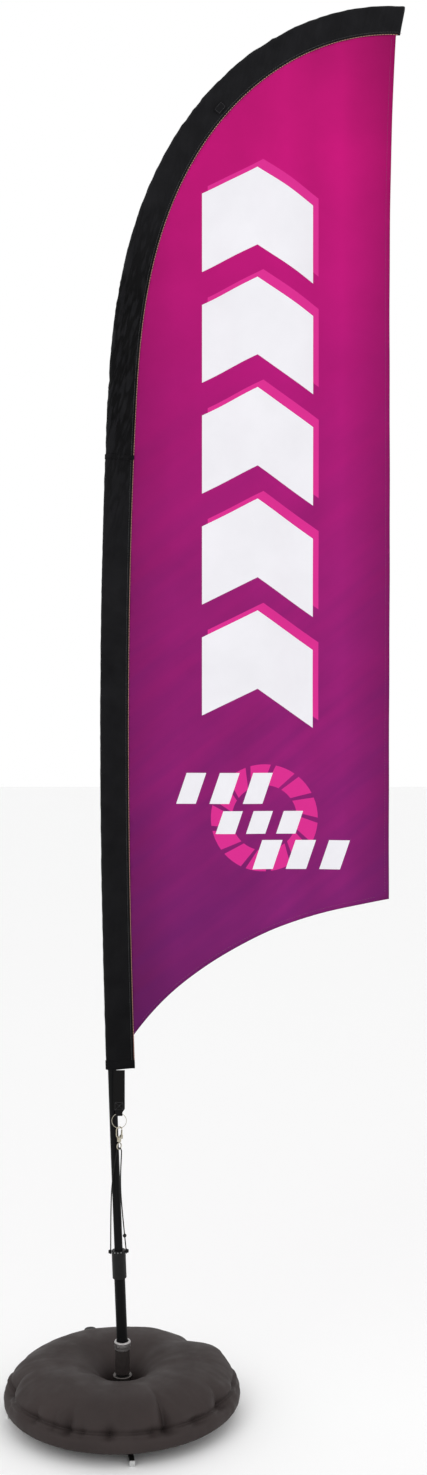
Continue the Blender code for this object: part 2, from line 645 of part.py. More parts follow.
def build_pole(pole):
    bore = BASE_TUBE_RADIUS - BASE_TUBE_WALL
    flange = 4.0 * MM
    insert = 16.0 * MM
    plug = pole_turned("pole_foot_plug", [
        (0.0, BASE_TUBE_RADIUS - 1.0 * MM), (1.0 * MM, BASE_TUBE_RADIUS), (flange, BASE_TUBE_RADIUS),
        (flange, bore - GAP), (flange + insert, bore - GAP)], black_plastic(), 20)
    put(plug, parent=pole)
    tube = pole_tube("base_tube", flange + GAP, BASE_TUBE_TOP, BASE_TUBE_RADIUS, bore, black_fibreglass(), 24)
    put(tube, parent=pole)

    low = COLLAR_TOP - COLLAR_LENGTH
    lip = LOWER_POLE_RADIUS + GAP
    inner = BASE_TUBE_RADIUS + GAP
    collar = pole_turned("tension_collar", [
        (low, inner), (low, COLLAR_RADIUS - 0.8 * MM), (low + 0.8 * MM, COLLAR_RADIUS),
        (COLLAR_TOP - 0.8 * MM, COLLAR_RADIUS), (COLLAR_TOP, COLLAR_RADIUS - 0.8 * MM), (COLLAR_TOP, lip),
        (COLLAR_TOP - COLLAR_LIP, lip), (COLLAR_TOP - COLLAR_LIP, inner)], black_plastic(), 28, loop=True)
    put(collar, parent=pole)
    for side, direction in (("left", -1.0), ("right", 1.0)):
        build_knob(side + "_knob", direction, pole)

    start = flange + insert + GAP
    lower = pole_tube("lower_pole", start, LOWER_POLE_TOP, LOWER_POLE_RADIUS, LOWER_POLE_RADIUS - TUBE_WALL,
                      black_fibreglass(), 18)
    put(lower, parent=pole)
    middle = pole_tube("middle_pole", LOWER_POLE_TOP - SPIGOT_LENGTH, MIDDLE_POLE_TOP, MIDDLE_POLE_RADIUS,
                       MIDDLE_POLE_RADIUS - TUBE_WALL, black_fibreglass(), 14)
    put(middle, parent=pole)
    for name, top, radius in (("lower_ferrule", LOWER_POLE_TOP, LOWER_POLE_RADIUS),
                              ("middle_ferrule", MIDDLE_POLE_TOP, MIDDLE_POLE_RADIUS)):
        ferrule = pole_tube(name, top - FERRULE_LENGTH, top, radius + GAP + FERRULE_WALL, radius + GAP,
                            bright_steel(), 18 if top == LOWER_POLE_TOP else 14)
        put(ferrule, parent=pole)

    root = MIDDLE_POLE_RADIUS - TUBE_WALL - GAP
    rod_start = MIDDLE_POLE_TOP - SPIGOT_LENGTH
    rod_end = POLE_LENGTH - TIP_CAP_WALL - GAP
    taper = (root - TIP_POLE_RADIUS) / (rod_end - TIP_CAP_LENGTH - MIDDLE_POLE_TOP)
    outline = []
    cap_start = POLE_LENGTH - TIP_CAP_LENGTH
    for place in stations(rod_start, cap_start) + stations(cap_start, rod_end)[1:]:
        along = max(0.0, place - MIDDLE_POLE_TOP)
        outline.append((place, max(TIP_POLE_RADIUS, root - taper * along)))
    rod = pole_turned("tip_pole", outline, black_fibreglass(), 10)
    put(rod, parent=pole)
    cap_bore = TIP_POLE_RADIUS + GAP + 0.3 * MM
    outline = [(place, cap_bore) for place in reversed(stations(cap_start, rod_end + GAP))]
    outline += [(place, cap_bore + TIP_CAP_WALL) for place in stations(cap_start, POLE_LENGTH - 1.5 * MM)]
    cap = pole_turned("tip_cap", outline + [(POLE_LENGTH, cap_bore)], black_plastic(), 12)
    put(cap, parent=pole)


def build_knob(name, direction, pole):
    """A stem and a round head standing out from the collar; the elastic hooks round the stem."""
    root = COLLAR_RADIUS + GAP
    neck = root + KNOB_STEM
    head = neck + KNOB_HEAD
    knob = turned(name, [
        (0, root), (KNOB_STEM_RADIUS, root), (KNOB_STEM_RADIUS, neck), (KNOB_HEAD_RADIUS - 0.6 * MM, neck),
        (KNOB_HEAD_RADIUS, neck + 0.8 * MM), (KNOB_HEAD_RADIUS, head - 1.3 * MM),
        (KNOB_HEAD_RADIUS - 1.3 * MM, head), (0, head)], black_plastic(), 14)
    tilt = direction * math.pi / 2 + pole_angle(KNOB_PLACE)
    put(knob, pole_at(KNOB_PLACE), pole, turn=(0.0, tilt, 0.0))


# ---------------------------------------------------------------- flag

def sleeve_radius(place):
    """Distance from the pole's centre to the cloth's outer face, round the pole."""
    around = SLEEVE_ROOM + SLEEVE_WALL
    wide = LOWER_POLE_RADIUS + around
    middle = MIDDLE_POLE_RADIUS + around
    narrow = TIP_POLE_RADIUS + TIP_CAP_WALL + around
    return float(np.interp(place, (LOWER_POLE_TOP, MIDDLE_POLE_TOP, POLE_LENGTH), (wide, middle, narrow)))


def sleeve_ring(place, inset):
    """The sleeve's drop-shaped section: round the pole, then tapering to the sewn edge."""
    full = sleeve_radius(place)
    radius = full - inset
    reach = SLEEVE_WIDTH - full - 2 * inset
    edge = SLEEVE_EDGE - inset
    turn = math.atan2(edge, reach) + math.acos(radius / math.hypot(reach, edge))
    arc = 7
    points = []
    for i in range(arc + 1):
        angle = turn + (math.tau - 2 * turn) * i / arc
        points.append((radius * math.cos(angle), radius * math.sin(angle)))
    points += [(reach, -edge), (reach, edge)]
    return [pole_at(place, inward, across) for inward, across in points]


def build_sleeves(pole):
    end = POLE_LENGTH + GAP
    lower = stations(SLEEVE_START, SLEEVE_SEAM - GAP / 2)
    rings = [sleeve_ring(place, 0.0) for place in lower]
    rings += [sleeve_ring(place, SLEEVE_WALL) for place in reversed(lower)]
    put(lofted("lower_sleeve", rings, sleeve_cloth(), loop=True, smooth=50.0), parent=pole)

    upper = stations(SLEEVE_SEAM + GAP / 2, end)
    rings = [sleeve_ring(end + SLEEVE_WALL, 0.0)]
    rings += [sleeve_ring(place, 0.0) for place in reversed(upper)]
    rings += [sleeve_ring(place, SLEEVE_WALL) for place in upper]
    put(lofted("upper_sleeve", rings, sleeve_cloth(), smooth=50.0), parent=pole)


def free_edge_x(height):
    top = pole_at(POLE_LENGTH, SLEEVE_WIDTH).z
    return PANEL_EDGE + PANEL_EDGE_FLARE * math.exp((height - top) / PANEL_EDGE_FLARE_HEIGHT)


def panel_outline():
    """(x, z) points round the panel: up the sewn edge, down the free edge and back along the hem."""
    points = []
    seam = stations(SLEEVE_START, SLEEVE_SEAM - GAP / 2) + stations(SLEEVE_SEAM + GAP / 2, POLE_LENGTH + GAP)
    for place in [PANEL_START] + [s for s in seam if s > PANEL_START + 0.01]:
        at = pole_at(place, SLEEVE_WIDTH - sleeve_radius(place) + GAP)
        points.append((at.x, at.z))
    start = points[0]
    top = points[-1]
    for i in range(1, 9):
        height = top[1] + (PANEL_CORNER_HEIGHT - top[1]) * (i / 8) ** 1.6
        points.append((free_edge_x(height), height))
    corner = points[-1]
    for i in range(1, 14):
        t = i / 14
        x = (1 - t) ** 2 * corner[0] + 2 * t * (1 - t) * HEM_PULL[0] + t ** 2 * start[0]
        z = (1 - t) ** 2 * corner[1] + 2 * t * (1 - t) * HEM_PULL[1] + t ** 2 * start[1]
        points.append((x, z))
    return points


def build_panel(pole):
    outline = panel_outline()
    rings = [[(x, across, z) for x, z in outline] for across in (-PANEL_THICK / 2, PANEL_THICK / 2)]
    put(lofted("flag_panel", rings, panel_cloth(), smooth=0.0), parent=pole)


def build_tab(pole):
    """Small patch sewn on the front of the upper sleeve."""
    length, width, thick = TAB_SIZE
    radius = sleeve_radius(TAB_PLACE)
    reach = SLEEVE_WIDTH - radius
    turn = math.atan2(SLEEVE_EDGE, reach) + math.acos(radius / math.hypot(reach, SLEEVE_EDGE))
    touch = Vector((radius * math.cos(turn), radius * math.sin(turn)))
    along = (Vector((reach, SLEEVE_EDGE)) - touch).normalized()
    out = Vector((-along.y, along.x))
    middle = touch + along * (reach * TAB_SHARE)
    rings = []
    for place in (TAB_PLACE - length / 2, TAB_PLACE + length / 2):
        ring = []
        for side, lift in ((-1, TAB_LIFT), (1, TAB_LIFT), (1, TAB_LIFT + thick), (-1, TAB_LIFT + thick)):
            at = middle + along * (side * width / 2) + out * lift
            ring.append(pole_at(place, at.x, -at.y))
        rings.append(ring)
    put(lofted("stitched_tab", rings, sleeve_cloth(), smooth=0.0), parent=pole)


# ---------------------------------------------------------------- strap, ring, hook and elastic

def build_strap(pole):
    """Webbing sewn under the sleeve, ending in a narrow loop round the ring."""
    sleeve_end = pole_at(SLEEVE_START).z - GAP
    top_y = -(LOWER_POLE_RADIUS + GAP + STRAP_THICK / 2) + 0.4 * MM
    half = STRAP_WIDTH / 2
    rings = []
    for y, z, side in ((top_y, sleeve_end - STRAP_WIDTH * math.sin(POLE_LEAN), half),
                       (TACKLE_Y, STRAP_END + 3.0 * MM, half),
                       (TACKLE_Y, STRAP_END, half - 1.5 * MM)):
        deep = STRAP_THICK / 2
        corners = ((-side, -deep), (side, -deep), (side, deep), (-side, deep))
        rings.append([(TACKLE_X + dx, y + dy, z) for dx, dy in corners])
    strap = put(lofted("webbing_strap", rings, strap_webbing(), smooth=0.0), parent=pole)

    drop = RING_RADIUS - math.sqrt(RING_RADIUS ** 2 - (STRAP_LOOP_WIDTH / 2) ** 2)
    wire_top = RING_HEIGHT + RING_RADIUS + RING_WIRE + GAP
    wire_low = RING_HEIGHT + RING_RADIUS - drop - RING_WIRE - GAP
    hole_half = RING_WIRE + GAP
    wall = STRAP_LOOP_WALL
    side = STRAP_LOOP_WIDTH / 2
    loop = box("strap_loop", (-side, -hole_half - wall, wire_low - wall),
               (side, hole_half + wall, STRAP_END + 1.0 * MM),
               strap_webbing())
    put(loop, (TACKLE_X, TACKLE_Y, 0.0), pole)
    way = box("strap_loop_way", (-2 * side, -hole_half, wire_low), (2 * side, hole_half, wire_top),
              strap_webbing())
    put(way, (TACKLE_X, TACKLE_Y, 0.0), pole)
    combine(strap, loop, 'UNION')
    combine(strap, way, 'DIFFERENCE')


def wire_loop(name, route, radius, finish, steps=8, closed=False, smooth=50.0):
    """Round wire along a flat route of (x, z) points."""
    points = [Vector((x, 0.0, z)) for x, z in route]
    rings = []
    for i, point in enumerate(points):
        before = points[i - 1] if i or closed else point
        after = points[(i + 1) % len(points)] if i + 1 < len(points) or closed else point
        along = (after - before).normalized()
        side = Vector((along.z, 0.0, -along.x))
        rings.append([point + side * radius * math.cos(a) + Vector((0, radius * math.sin(a), 0))
                      for a in (math.tau * k / steps for k in range(steps))])
    return lofted(name, rings, finish, loop=closed, smooth=smooth)


def arc(centre, radius, start, end, count):
    """(x, z) points on an arc; angles in degrees."""
    return [(centre[0] + radius * math.cos(math.radians(start + (end - start) * i / count)),
             centre[1] + radius * math.sin(math.radians(start + (end - start) * i / count)))
            for i in range(count + 1)]


def build_ring(pole):
    route = arc((0.0, 0.0), RING_RADIUS, 0, 360, 28)[:-1]
    ring = wire_loop("split_ring", route, RING_WIRE, nickel(), 6, closed=True, smooth=70.0)
    put(ring, (TACKLE_X, TACKLE_Y, RING_HEIGHT), pole)


def build_hook(hook, gate_axis, pole):
    """Snap hook: a wire bow with a sprung gate, on a barrel that turns on the eye's stem."""
    arc_height = HOOK_ARC_HEIGHT - BARREL_TOP
    turn = (0.0, 0.0, HOOK_TURN)
    at = (TACKLE_X, TACKLE_Y, BARREL_TOP)
    route = arc((0.0, arc_height), HOOK_HALF_WIDTH, BOW_END, 180, 9)
    route += [(-HOOK_HALF_WIDTH, 0.35 * arc_height), (-HOOK_HALF_WIDTH + 0.9 * MM, 0.15 * arc_height),
              (-HOOK_HALF_WIDTH + 2.6 * MM, 0.2 * MM), (-3.4 * MM, -2.4 * MM)]
    bow = wire_loop("hook_body", route, HOOK_WIRE, nickel(), 8)
    put(bow, at, hook, turn)

    barrel = turned("hook_barrel", [
        (STEM_RADIUS + GAP, -BARREL_HEIGHT), (BARREL_RADIUS - 0.8 * MM, -BARREL_HEIGHT),
        (BARREL_RADIUS, -BARREL_HEIGHT + 0.8 * MM), (BARREL_RADIUS, -0.8 * MM),
        (BARREL_RADIUS - 0.8 * MM, 0.0), (STEM_RADIUS + GAP, 0.0)], nickel(), 16)
    put(barrel, at, hook)
    combine(bow, barrel, 'UNION')

    cheek_out = GATE_PIN_OUT + GATE_EYE_RADIUS
    cheek_top = GATE_PIN_UP + GATE_EYE_RADIUS
    slot_half = GATE_WIDTH / 2 + GAP
    slot_in = GATE_PIN_OUT - GATE_EYE_RADIUS - SLOT_ROOM
    cheek = box("hook_cheek", (CHEEK_INNER, -GATE_PIN_HALF, CHEEK_BOTTOM),
                (cheek_out, GATE_PIN_HALF, cheek_top), nickel())
    slot = box("gate_slot", (slot_in, -slot_half, GATE_PIN_UP - GATE_EYE_RADIUS - SLOT_ROOM),
               (SLOT_REACH, slot_half, GATE_PIN_UP), nickel())
    way = box("gate_way", (GATE_PIN_OUT - GATE_SWING, -slot_half, GATE_PIN_UP - GATE_WAY_DROP),
              (SLOT_REACH, slot_half, 2 * cheek_top), nickel())
    reach = 2 * GATE_PIN_HALF
    hole = turned("pin_hole", [(0, -reach), (GATE_PIN_RADIUS + GAP, -reach), (GATE_PIN_RADIUS + GAP, reach),
                               (0, reach)], nickel(), 12)
    pin_at = gate_pin_place()
    for cutter in (cheek, slot, way):
        put(cutter, at, hook, turn)
    put(hole, pin_at, hook, (math.pi / 2, 0.0, HOOK_TURN))
    combine(bow, cheek, 'UNION')
    for cutter in (slot, way, hole):
        combine(bow, cutter, 'DIFFERENCE')

    pin = turned("gate_pin", [(0, -GATE_PIN_HALF), (GATE_PIN_RADIUS, -GATE_PIN_HALF),
                              (GATE_PIN_RADIUS, GATE_PIN_HALF), (0, GATE_PIN_HALF)], nickel(), 10)
    put(pin, pin_at, hook, (math.pi / 2, 0.0, HOOK_TURN))
    build_gate(gate_axis, pin_at)

    stem_top = BARREL_TOP + GAP + 1.7 * MM - EYE_HEIGHT
    neck = BARREL_TOP + GAP - EYE_HEIGHT
    eye = wire_loop("swivel_eye", arc((0.0, 0.0), EYE_RADIUS, 0, 360, 20)[:-1], EYE_WIRE, nickel(), 6,
                    closed=True, smooth=70.0)
    put(eye, (TACKLE_X, TACKLE_Y, EYE_HEIGHT), pole, (0.0, 0.0, EYE_TURN))
    stem = turned("eye_stem", [(0, EYE_RADIUS), (STEM_RADIUS, EYE_RADIUS), (STEM_RADIUS, neck),
                               (STEM_HEAD_RADIUS, neck), (STEM_HEAD_RADIUS, stem_top - 0.6 * MM),
                               (STEM_HEAD_RADIUS - 0.6 * MM, stem_top), (0, stem_top)], nickel(), 12)
    put(stem, (TACKLE_X, TACKLE_Y, EYE_HEIGHT), pole)
    combine(eye, stem, 'UNION')


def gate_pin_place():
    """The gate's pin: beside the barrel in the hook's own plane, and above the barrel's top."""
    beside = Matrix.Rotation(HOOK_TURN, 3, 'Z') @ Vector((GATE_PIN_OUT, 0.0, GATE_PIN_UP))
    return Vector((TACKLE_X, TACKLE_Y, BARREL_TOP)) + beside


def build_gate(gate_axis, pin_at):
    """The gate closes against the end of the bow; its eye turns on the pin."""
    bow_end = HOOK_ARC_HEIGHT - BARREL_TOP + HOOK_HALF_WIDTH * math.sin(math.radians(BOW_END))
    nose = bow_end - HOOK_WIRE - GAP - GATE_PIN_UP
    lean = HOOK_HALF_WIDTH - GATE_PIN_OUT
    outline = arc((0.0, 0.0), GATE_EYE_RADIUS, 155, 385, 9)
    outline += [(lean + GATE_TIP_HALF, nose), (lean - GATE_TIP_HALF, nose)]
    rings = [[(x, across, z) for x, z in outline] for across in (-GATE_WIDTH / 2, GATE_WIDTH / 2)]
    gate = lofted("hook_gate", rings, nickel(), smooth=40.0)
    put(gate, pin_at, gate_axis, (0.0, 0.0, HOOK_TURN))
    reach = 2 * GATE_WIDTH
    hole = turned("gate_hole", [(0, -reach), (GATE_PIN_RADIUS + GAP, -reach), (GATE_PIN_RADIUS + GAP, reach),
                                (0, reach)], nickel(), 12)
    put(hole, pin_at, gate_axis, (math.pi / 2, 0.0, HOOK_TURN))
    combine(gate, hole, 'DIFFERENCE')


def smooth_route(points, spacing):
    """Points along a smooth curve through the given ones."""
    ends = [points[0] * 2 - points[1]] + points + [points[-1] * 2 - points[-2]]
    out = [points[0]]
    for a, b, c, d in zip(ends, ends[1:], ends[2:], ends[3:]):
        count = max(1, round((c - b).length / spacing))
        for i in range(1, count + 1):
            t = i / count
            out.append(0.5 * ((2 * b) + (c - a) * t + (2 * a - 5 * b + 4 * c - d) * t ** 2
                              + (3 * b - a - 3 * c + d) * t ** 3))
    return out


def cord_route():
    """The elastic's route: hooked round one knob, up over the eye's wire and down to the other knob."""
    apex = EYE_HEIGHT - EYE_RADIUS + EYE_WIRE + 2 * GAP + CORD_RADIUS
    wrap = KNOB_STEM_RADIUS + 2 * GAP + CORD_RADIUS
    out = COLLAR_RADIUS + GAP + KNOB_STEM / 2
    sides = []
    for direction in (-1.0, 1.0):
        knob = pole_at(KNOB_PLACE, direction * out)
        hooked = []
        for i in range(9):
            along = math.radians(60.0 - 28.0 * i)
            hooked.append(knob + Vector((0.0, wrap * math.cos(along), wrap * math.sin(along))))
        pole_mid = pole_at(pole_height_place((knob.z + apex) / 2 + 0.02))
        clear = LOWER_POLE_RADIUS + CORD_RADIUS + 3.0 * MM
        bearing = math.radians(225.0 if direction < 0 else 300.0)
        beside = pole_mid + Vector((clear * math.cos(bearing), clear * math.sin(bearing), 0.0))
        if direction > 0:
            beside.x += 4.0 * MM
        near_eye = [Vector((TACKLE_X + direction * 5.2 * MM, TACKLE_Y, apex - 6.5 * MM)),
                    Vector((TACKLE_X + direction * 3.3 * MM, TACKLE_Y, apex - 1.2 * MM))]
        sides.append(hooked + [beside] + near_eye)
    return sides[0] + [Vector((TACKLE_X, TACKLE_Y, apex))] + sides[1][::-1]


def build_elastic(pole):
    route = smooth_route(cord_route(), 11.0 * MM)
    curve = bpy.data.curves.new("elastic_cord", 'CURVE')
    curve.dimensions = '3D'
    curve.bevel_depth = CORD_RADIUS
    curve.bevel_resolution = 2
    curve.use_fill_caps = True
    spline = curve.splines.new('POLY')
    spline.points.add(len(route) - 1)
    for point, place in zip(spline.points, route):
        point.co = (*place, 1.0)
    curve.materials.append(elastic())
    cord = bpy.data.objects.new("elastic_cord", curve)
    bpy.context.scene.collection.objects.link(cord)
    put(cord, parent=pole)

    right = [p for p in route if p.x > TACKLE_X]
    nearest = min(range(1, len(right) - 1), key=lambda i: abs(right[i].z - BEAD_HEIGHT))
    along = (right[nearest + 1] - right[nearest - 1]).normalized()
    bore = CORD_RADIUS + GAP + 0.2 * MM
    half = math.sqrt(BEAD_RADIUS ** 2 - (bore + 0.5 * MM) ** 2)
    outline = [(bore, -half), (bore + 0.5 * MM, -half)]
    outline += [(BEAD_RADIUS * math.cos(a), BEAD_RADIUS * math.sin(a))
                for a in (math.radians(d) for d in (-45, -20, 0, 20, 45))]
    outline += [(bore + 0.5 * MM, half), (bore, half)]
    bead = turned("cord_bead", outline, black_plastic(), 12)
    put(bead, right[nearest], pole, along.to_track_quat('Z', 'Y').to_euler())


def main():
    clear_scene()
    fold = pivot("leg_fold_axis", (0, 0, 0))
    bag_body = pivot("bag_axis", (0, 0, 0))
    reach, bearing = FILLER_PLACE
    cap_at = (reach * math.cos(bearing), reach * math.sin(bearing), FILLER_FLOOR)
    cap_axis = pivot("filler_cap_axis", cap_at, bag_body)
    rotor = pivot("rotor_axis", (0, 0, ROTOR_BOTTOM))
    pole = pivot("pole_axis", pole_at(0.0), rotor)
    hook = pivot("hook_axis", (TACKLE_X, TACKLE_Y, BARREL_TOP), pole)
    gate_axis = pivot("gate_axis", gate_pin_place(), hook)

    build_cross_base(fold)
    build_spindle()
    build_bearings(rotor)
    build_rotor(rotor)
    build_bag(bag_body, cap_axis)
    build_pole(pole)
    build_sleeves(pole)
    build_panel(pole)
    build_tab(pole)
    build_strap(pole)
    build_ring(pole)
    build_hook(hook, gate_axis, pole)
    build_elastic(pole)


main()
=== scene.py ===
"""Cloth, water bag and finishes for the bow flag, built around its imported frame."""
import math

import bpy
import numpy as np
from bpy.props import FloatProperty, FloatVectorProperty, IntProperty, PointerProperty
from bpy.types import Operator, Panel, PropertyGroup
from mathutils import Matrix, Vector, noise
from mathutils.bvhtree import BVHTree
from mathutils.geometry import barycentric_transform, delaunay_2d_cdt


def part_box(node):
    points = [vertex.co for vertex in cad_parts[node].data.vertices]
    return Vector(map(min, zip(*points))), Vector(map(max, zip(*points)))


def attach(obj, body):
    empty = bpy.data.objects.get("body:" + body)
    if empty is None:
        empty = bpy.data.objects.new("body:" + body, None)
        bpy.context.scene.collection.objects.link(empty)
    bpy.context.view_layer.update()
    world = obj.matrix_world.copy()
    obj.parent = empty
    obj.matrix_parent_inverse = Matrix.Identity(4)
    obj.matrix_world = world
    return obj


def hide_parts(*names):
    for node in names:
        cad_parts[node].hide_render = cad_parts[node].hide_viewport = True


bl_info = {
    "name": "Bow flag on a water bag",
    "version": (1, 0, 0),
    "blender": (4, 5, 0),
    "location": "View3D > Sidebar > Bow flag",
    "description": "Builds a bow flag's cloth, water bag and finishes around its frame",
    "category": "Object",
}

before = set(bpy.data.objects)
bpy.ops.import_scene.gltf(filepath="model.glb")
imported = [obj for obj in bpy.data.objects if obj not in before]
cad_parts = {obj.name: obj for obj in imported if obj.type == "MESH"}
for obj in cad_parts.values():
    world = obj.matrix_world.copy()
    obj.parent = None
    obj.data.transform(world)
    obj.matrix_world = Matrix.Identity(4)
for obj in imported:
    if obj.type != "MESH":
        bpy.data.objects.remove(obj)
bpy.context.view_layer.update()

MM = 0.001

# The pole's bent line, as the frame has it: arc length from the foot, angles from the vertical
POLE_LENGTH = 3.307
POLE_LEAN = math.radians(2.3)
POLE_SWAY = math.radians(12.7)
TIP_BEND = math.radians(82.9)
TIP_BEND_LENGTH = 1.207
TIP_BEND_POWER = 1.72
CUP_DEPTH = 41.0 * MM
POLE_FOOT = 0.1130816

# Flag
SLEEVE_START = 0.638
SLEEVE_SEAM = 1.985
SLEEVE_WIDTH = 63.0 * MM
SLEEVE_FITS = ((1.10, 2.15, POLE_LENGTH), (12.5 * MM, 11.1 * MM, 7.6 * MM))
SLEEVE_CLOTH = 0.9 * MM
SLEEVE_LIP = 9.0 * MM               # seam allowance along the sewn edge
LIP_HALF = 1.1 * MM
SECTION_STEP = math.radians(17)     # between points where the sleeve wraps the pole
END_SLANT = 8.0 * MM                # how much shorter the sleeve's top end is along the sewn edge
END_REACH = 60.0 * MM               # how far from the end the slant starts
END_SPARE = 4.5 * MM                # sleeve past the pole's tip
END_PRESSED = (0.5 * MM, 4.0 * MM)  # where past the tip the end starts to be pressed flat, and over what length
END_FLAT = 0.12                     # the pressed end's thickness, as a share of the plain sleeve's
CREASE_PLAIN = 0.3                  # share of the full crease depth away from the bends
CREASE_BENDS = ((2.22, 0.26, 0.7), (2.9, 0.3, 0.25))    # place along the pole, half width, extra share
SLEEVE_BANDS = (                    # start, end and height of the raised bands
    (SLEEVE_SEAM - 5 * MM, SLEEVE_SEAM + 5 * MM, 0.7 * MM),
    (SLEEVE_START - 0.2 * MM, SLEEVE_START + 19 * MM, 0.6 * MM))
BAND_PROFILE = ((0.0, 0.0), (0.04, 1.0), (0.5, 1.0), (0.96, 1.0), (1.0, 0.0))    # share along, share of height
PANEL_START = 0.705
PANEL_EDGE = 0.5865
PANEL_EDGE_FLARE = 0.015
PANEL_EDGE_FLARE_HEIGHT = 0.25
PANEL_CORNER_HEIGHT = 1.1247
PANEL_TUCK = 5.0 * MM               # how far the panel reaches into the sewn lip
PANEL_CLOTH = 0.6 * MM
HEM_PULL = (0.195, 1.065)           # (x, z) that the curved lower edge bends towards
HEM_STEPS = 48
HEM_THICK = 1.3 * MM
HEM_REACH = 1.25                    # how far in the hem's thickness runs, as a share of its width
HEM_SEAM = 0.85                     # where its stitches run, as a share of its width
SEWN_HOLD = 0.11                    # how far from the sewn edge the cloth is still held flat

# Print
COLUMN_LEFT = 0.1750
COLUMN_RIGHT = 0.4194
COLUMN_TOP = 2.727
COLUMN_PITCH = 0.2445
COLUMN_BLOCKS = 5
BLOCK_HEIGHT = 0.172
BLOCK_SLANT = 0.027                 # the right side sits this much lower
BLOCK_POINT = 0.062                 # how far the arrow's point stands up
SHADOW_OFFSET = (0.0125, 0.0165)
WHEEL_CENTRE = (0.3125, 1.303)
WHEEL_RADII = (0.072, 0.118)
WHEEL_BLOCKS = 13
WHEEL_FILL = 0.80                   # share of the ring that the blocks take up
WHEEL_LEAN = 0.16                   # how far a block's inner side is turned on, in radians
WHEEL_STEP = 0.25
BARS = ((0.118, 0.338, 1.334, 1.402), (0.205, 0.405, 1.268, 1.318), (0.286, 0.507, 1.190, 1.254))
BAR_PARTS = 3
BAR_GAP = 7 * MM
BAR_SLANT = 0.34                    # sideways lean of the bars for each unit of height

# Strap
TAPE_HALF = 0.75 * MM               # half of the doubled tape's thickness
TAPE_ROOM = 0.1 * MM                # between the tape and what it passes
TAPE_GATHER = 0.42                  # share of the width that is gathered in at the ring
LOOP_DROP = 2.4 * MM                # how far the loop hangs below the ring's wire
LOOP_LIFT = 1.6 * MM
LOOP_DEPTH = 2.2 * MM

# Collar studs
STUD_BEARINGS = (-118.0, -92.0, -66.0)
STUD_DROP = 2.2 * MM                # below the collar's top
STUD_INSET = 0.6 * MM
STUD_ROOT = 0.8 * MM                # how far a stud reaches into the collar
STUD_PROUD = 0.7 * MM
STUD_RADIUS = 0.9 * MM

# Water bag
BAG_LOW, BAG_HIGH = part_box("water_bag")
BAG_OUTER = BAG_HIGH.x
BAG_INNER = 39.0 * MM
BAG_SEAM_HEIGHT = 34.0 * MM
BAG_CROWN = BAG_HIGH.z - BAG_SEAM_HEIGHT
BAG_DEPTH = BAG_SEAM_HEIGHT - BAG_LOW.z
BAG_MIDDLE = (BAG_OUTER + BAG_INNER) / 2
BAG_HALF = (BAG_OUTER - BAG_INNER) / 2
HOLE_FULLNESS = 0.7                 # below 1 the bag closes in more steeply on the spindle
SEAM_ANGLE = 21.0                   # where the weld runs round the section, in degrees above the widest place


# ---------------------------------------------------------------- settings

def shade(red, green, blue):
    """A scene-linear colour from display values of 0 to 255."""
    return tuple(c / 12.92 if c <= 0.04045 else ((c + 0.055) / 1.055) ** 2.4
                 for c in (red / 255, green / 255, blue / 255))


def length_setting(name, description, default, top):
    return FloatProperty(name=name, description=description, default=default, min=0.0, max=top,
                         subtype='DISTANCE', unit='LENGTH')


def colour_setting(name, description, default):
    return FloatVectorProperty(name=name, description=description, default=default, size=3, min=0.0, max=1.0,
                               subtype='COLOR')


class BowFlagCloth(PropertyGroup):
    """Sizes and colours of the printed panel and its sleeve."""
    grid: length_setting("Grid", "Spacing of the panel's mesh", 14.0 * MM, 0.1)
    ripple: length_setting("Ripple", "How far the panel's soft folds stand off its plane", 9.0 * MM, 0.05)
    hem: length_setting("Hem", "Width of the hem along the free edges", 11.0 * MM, 0.05)
    stitch: length_setting("Stitch", "Distance from one stitch to the next", 6.0 * MM, 0.02)
    crease: length_setting("Creases", "Depth of the creases in the sleeve", 2.2 * MM, 0.01)
    print_white: colour_setting("Blocks", "Colour of the printed blocks", shade(235, 234, 239))
    print_pink: colour_setting("Shadow", "Colour of the blocks' printed shadow", shade(216, 46, 142))
    sleeve: colour_setting("Sleeve", "Colour of the sleeve", shade(20, 20, 22))
    thread: colour_setting("Thread", "Colour of the thread along the sewn edge", shade(214, 150, 132))


class BowFlagBag(PropertyGroup):
    """Shape and colour of the water bag."""
    steps: IntProperty(name="Steps", description="Points round the bag", default=480, min=48, max=960)
    lumps: length_setting("Lumps", "Height of the slow swells over the crown", 3.5 * MM, 0.05)
    pinch: length_setting("Pinches", "Depth of the folds along the welded rim", 22.0 * MM, 0.05)
    vinyl: colour_setting("Vinyl", "Colour of the bag", shade(54, 47, 46))


class BowFlagStage(PropertyGroup):
    """Floor, light and camera."""
    floor: colour_setting("Floor", "Colour of the floor", shade(247, 247, 247))
    ambient: FloatProperty(name="Ambient", description="Strength of the light from all sides", default=1.0,
                           min=0.0, max=4.0)
    key: FloatProperty(name="Key", description="Power of the soft key light", default=26.0, min=0.0,
                       max=1000.0, unit='POWER')
    distance: length_setting("Distance", "From the flag's plane to the camera", 3.17, 20.0)
    height: length_setting("Height", "The camera's height above the floor", 1.48, 5.0)
    aside: length_setting("Aside", "The camera's place along the flag, from the spindle", 0.2003, 2.0)
    lens: FloatProperty(name="Lens", description="Focal length on a 36 mm sensor", default=35.15, min=10.0,
                        max=200.0, unit='CAMERA')


# ---------------------------------------------------------------- the pole's line

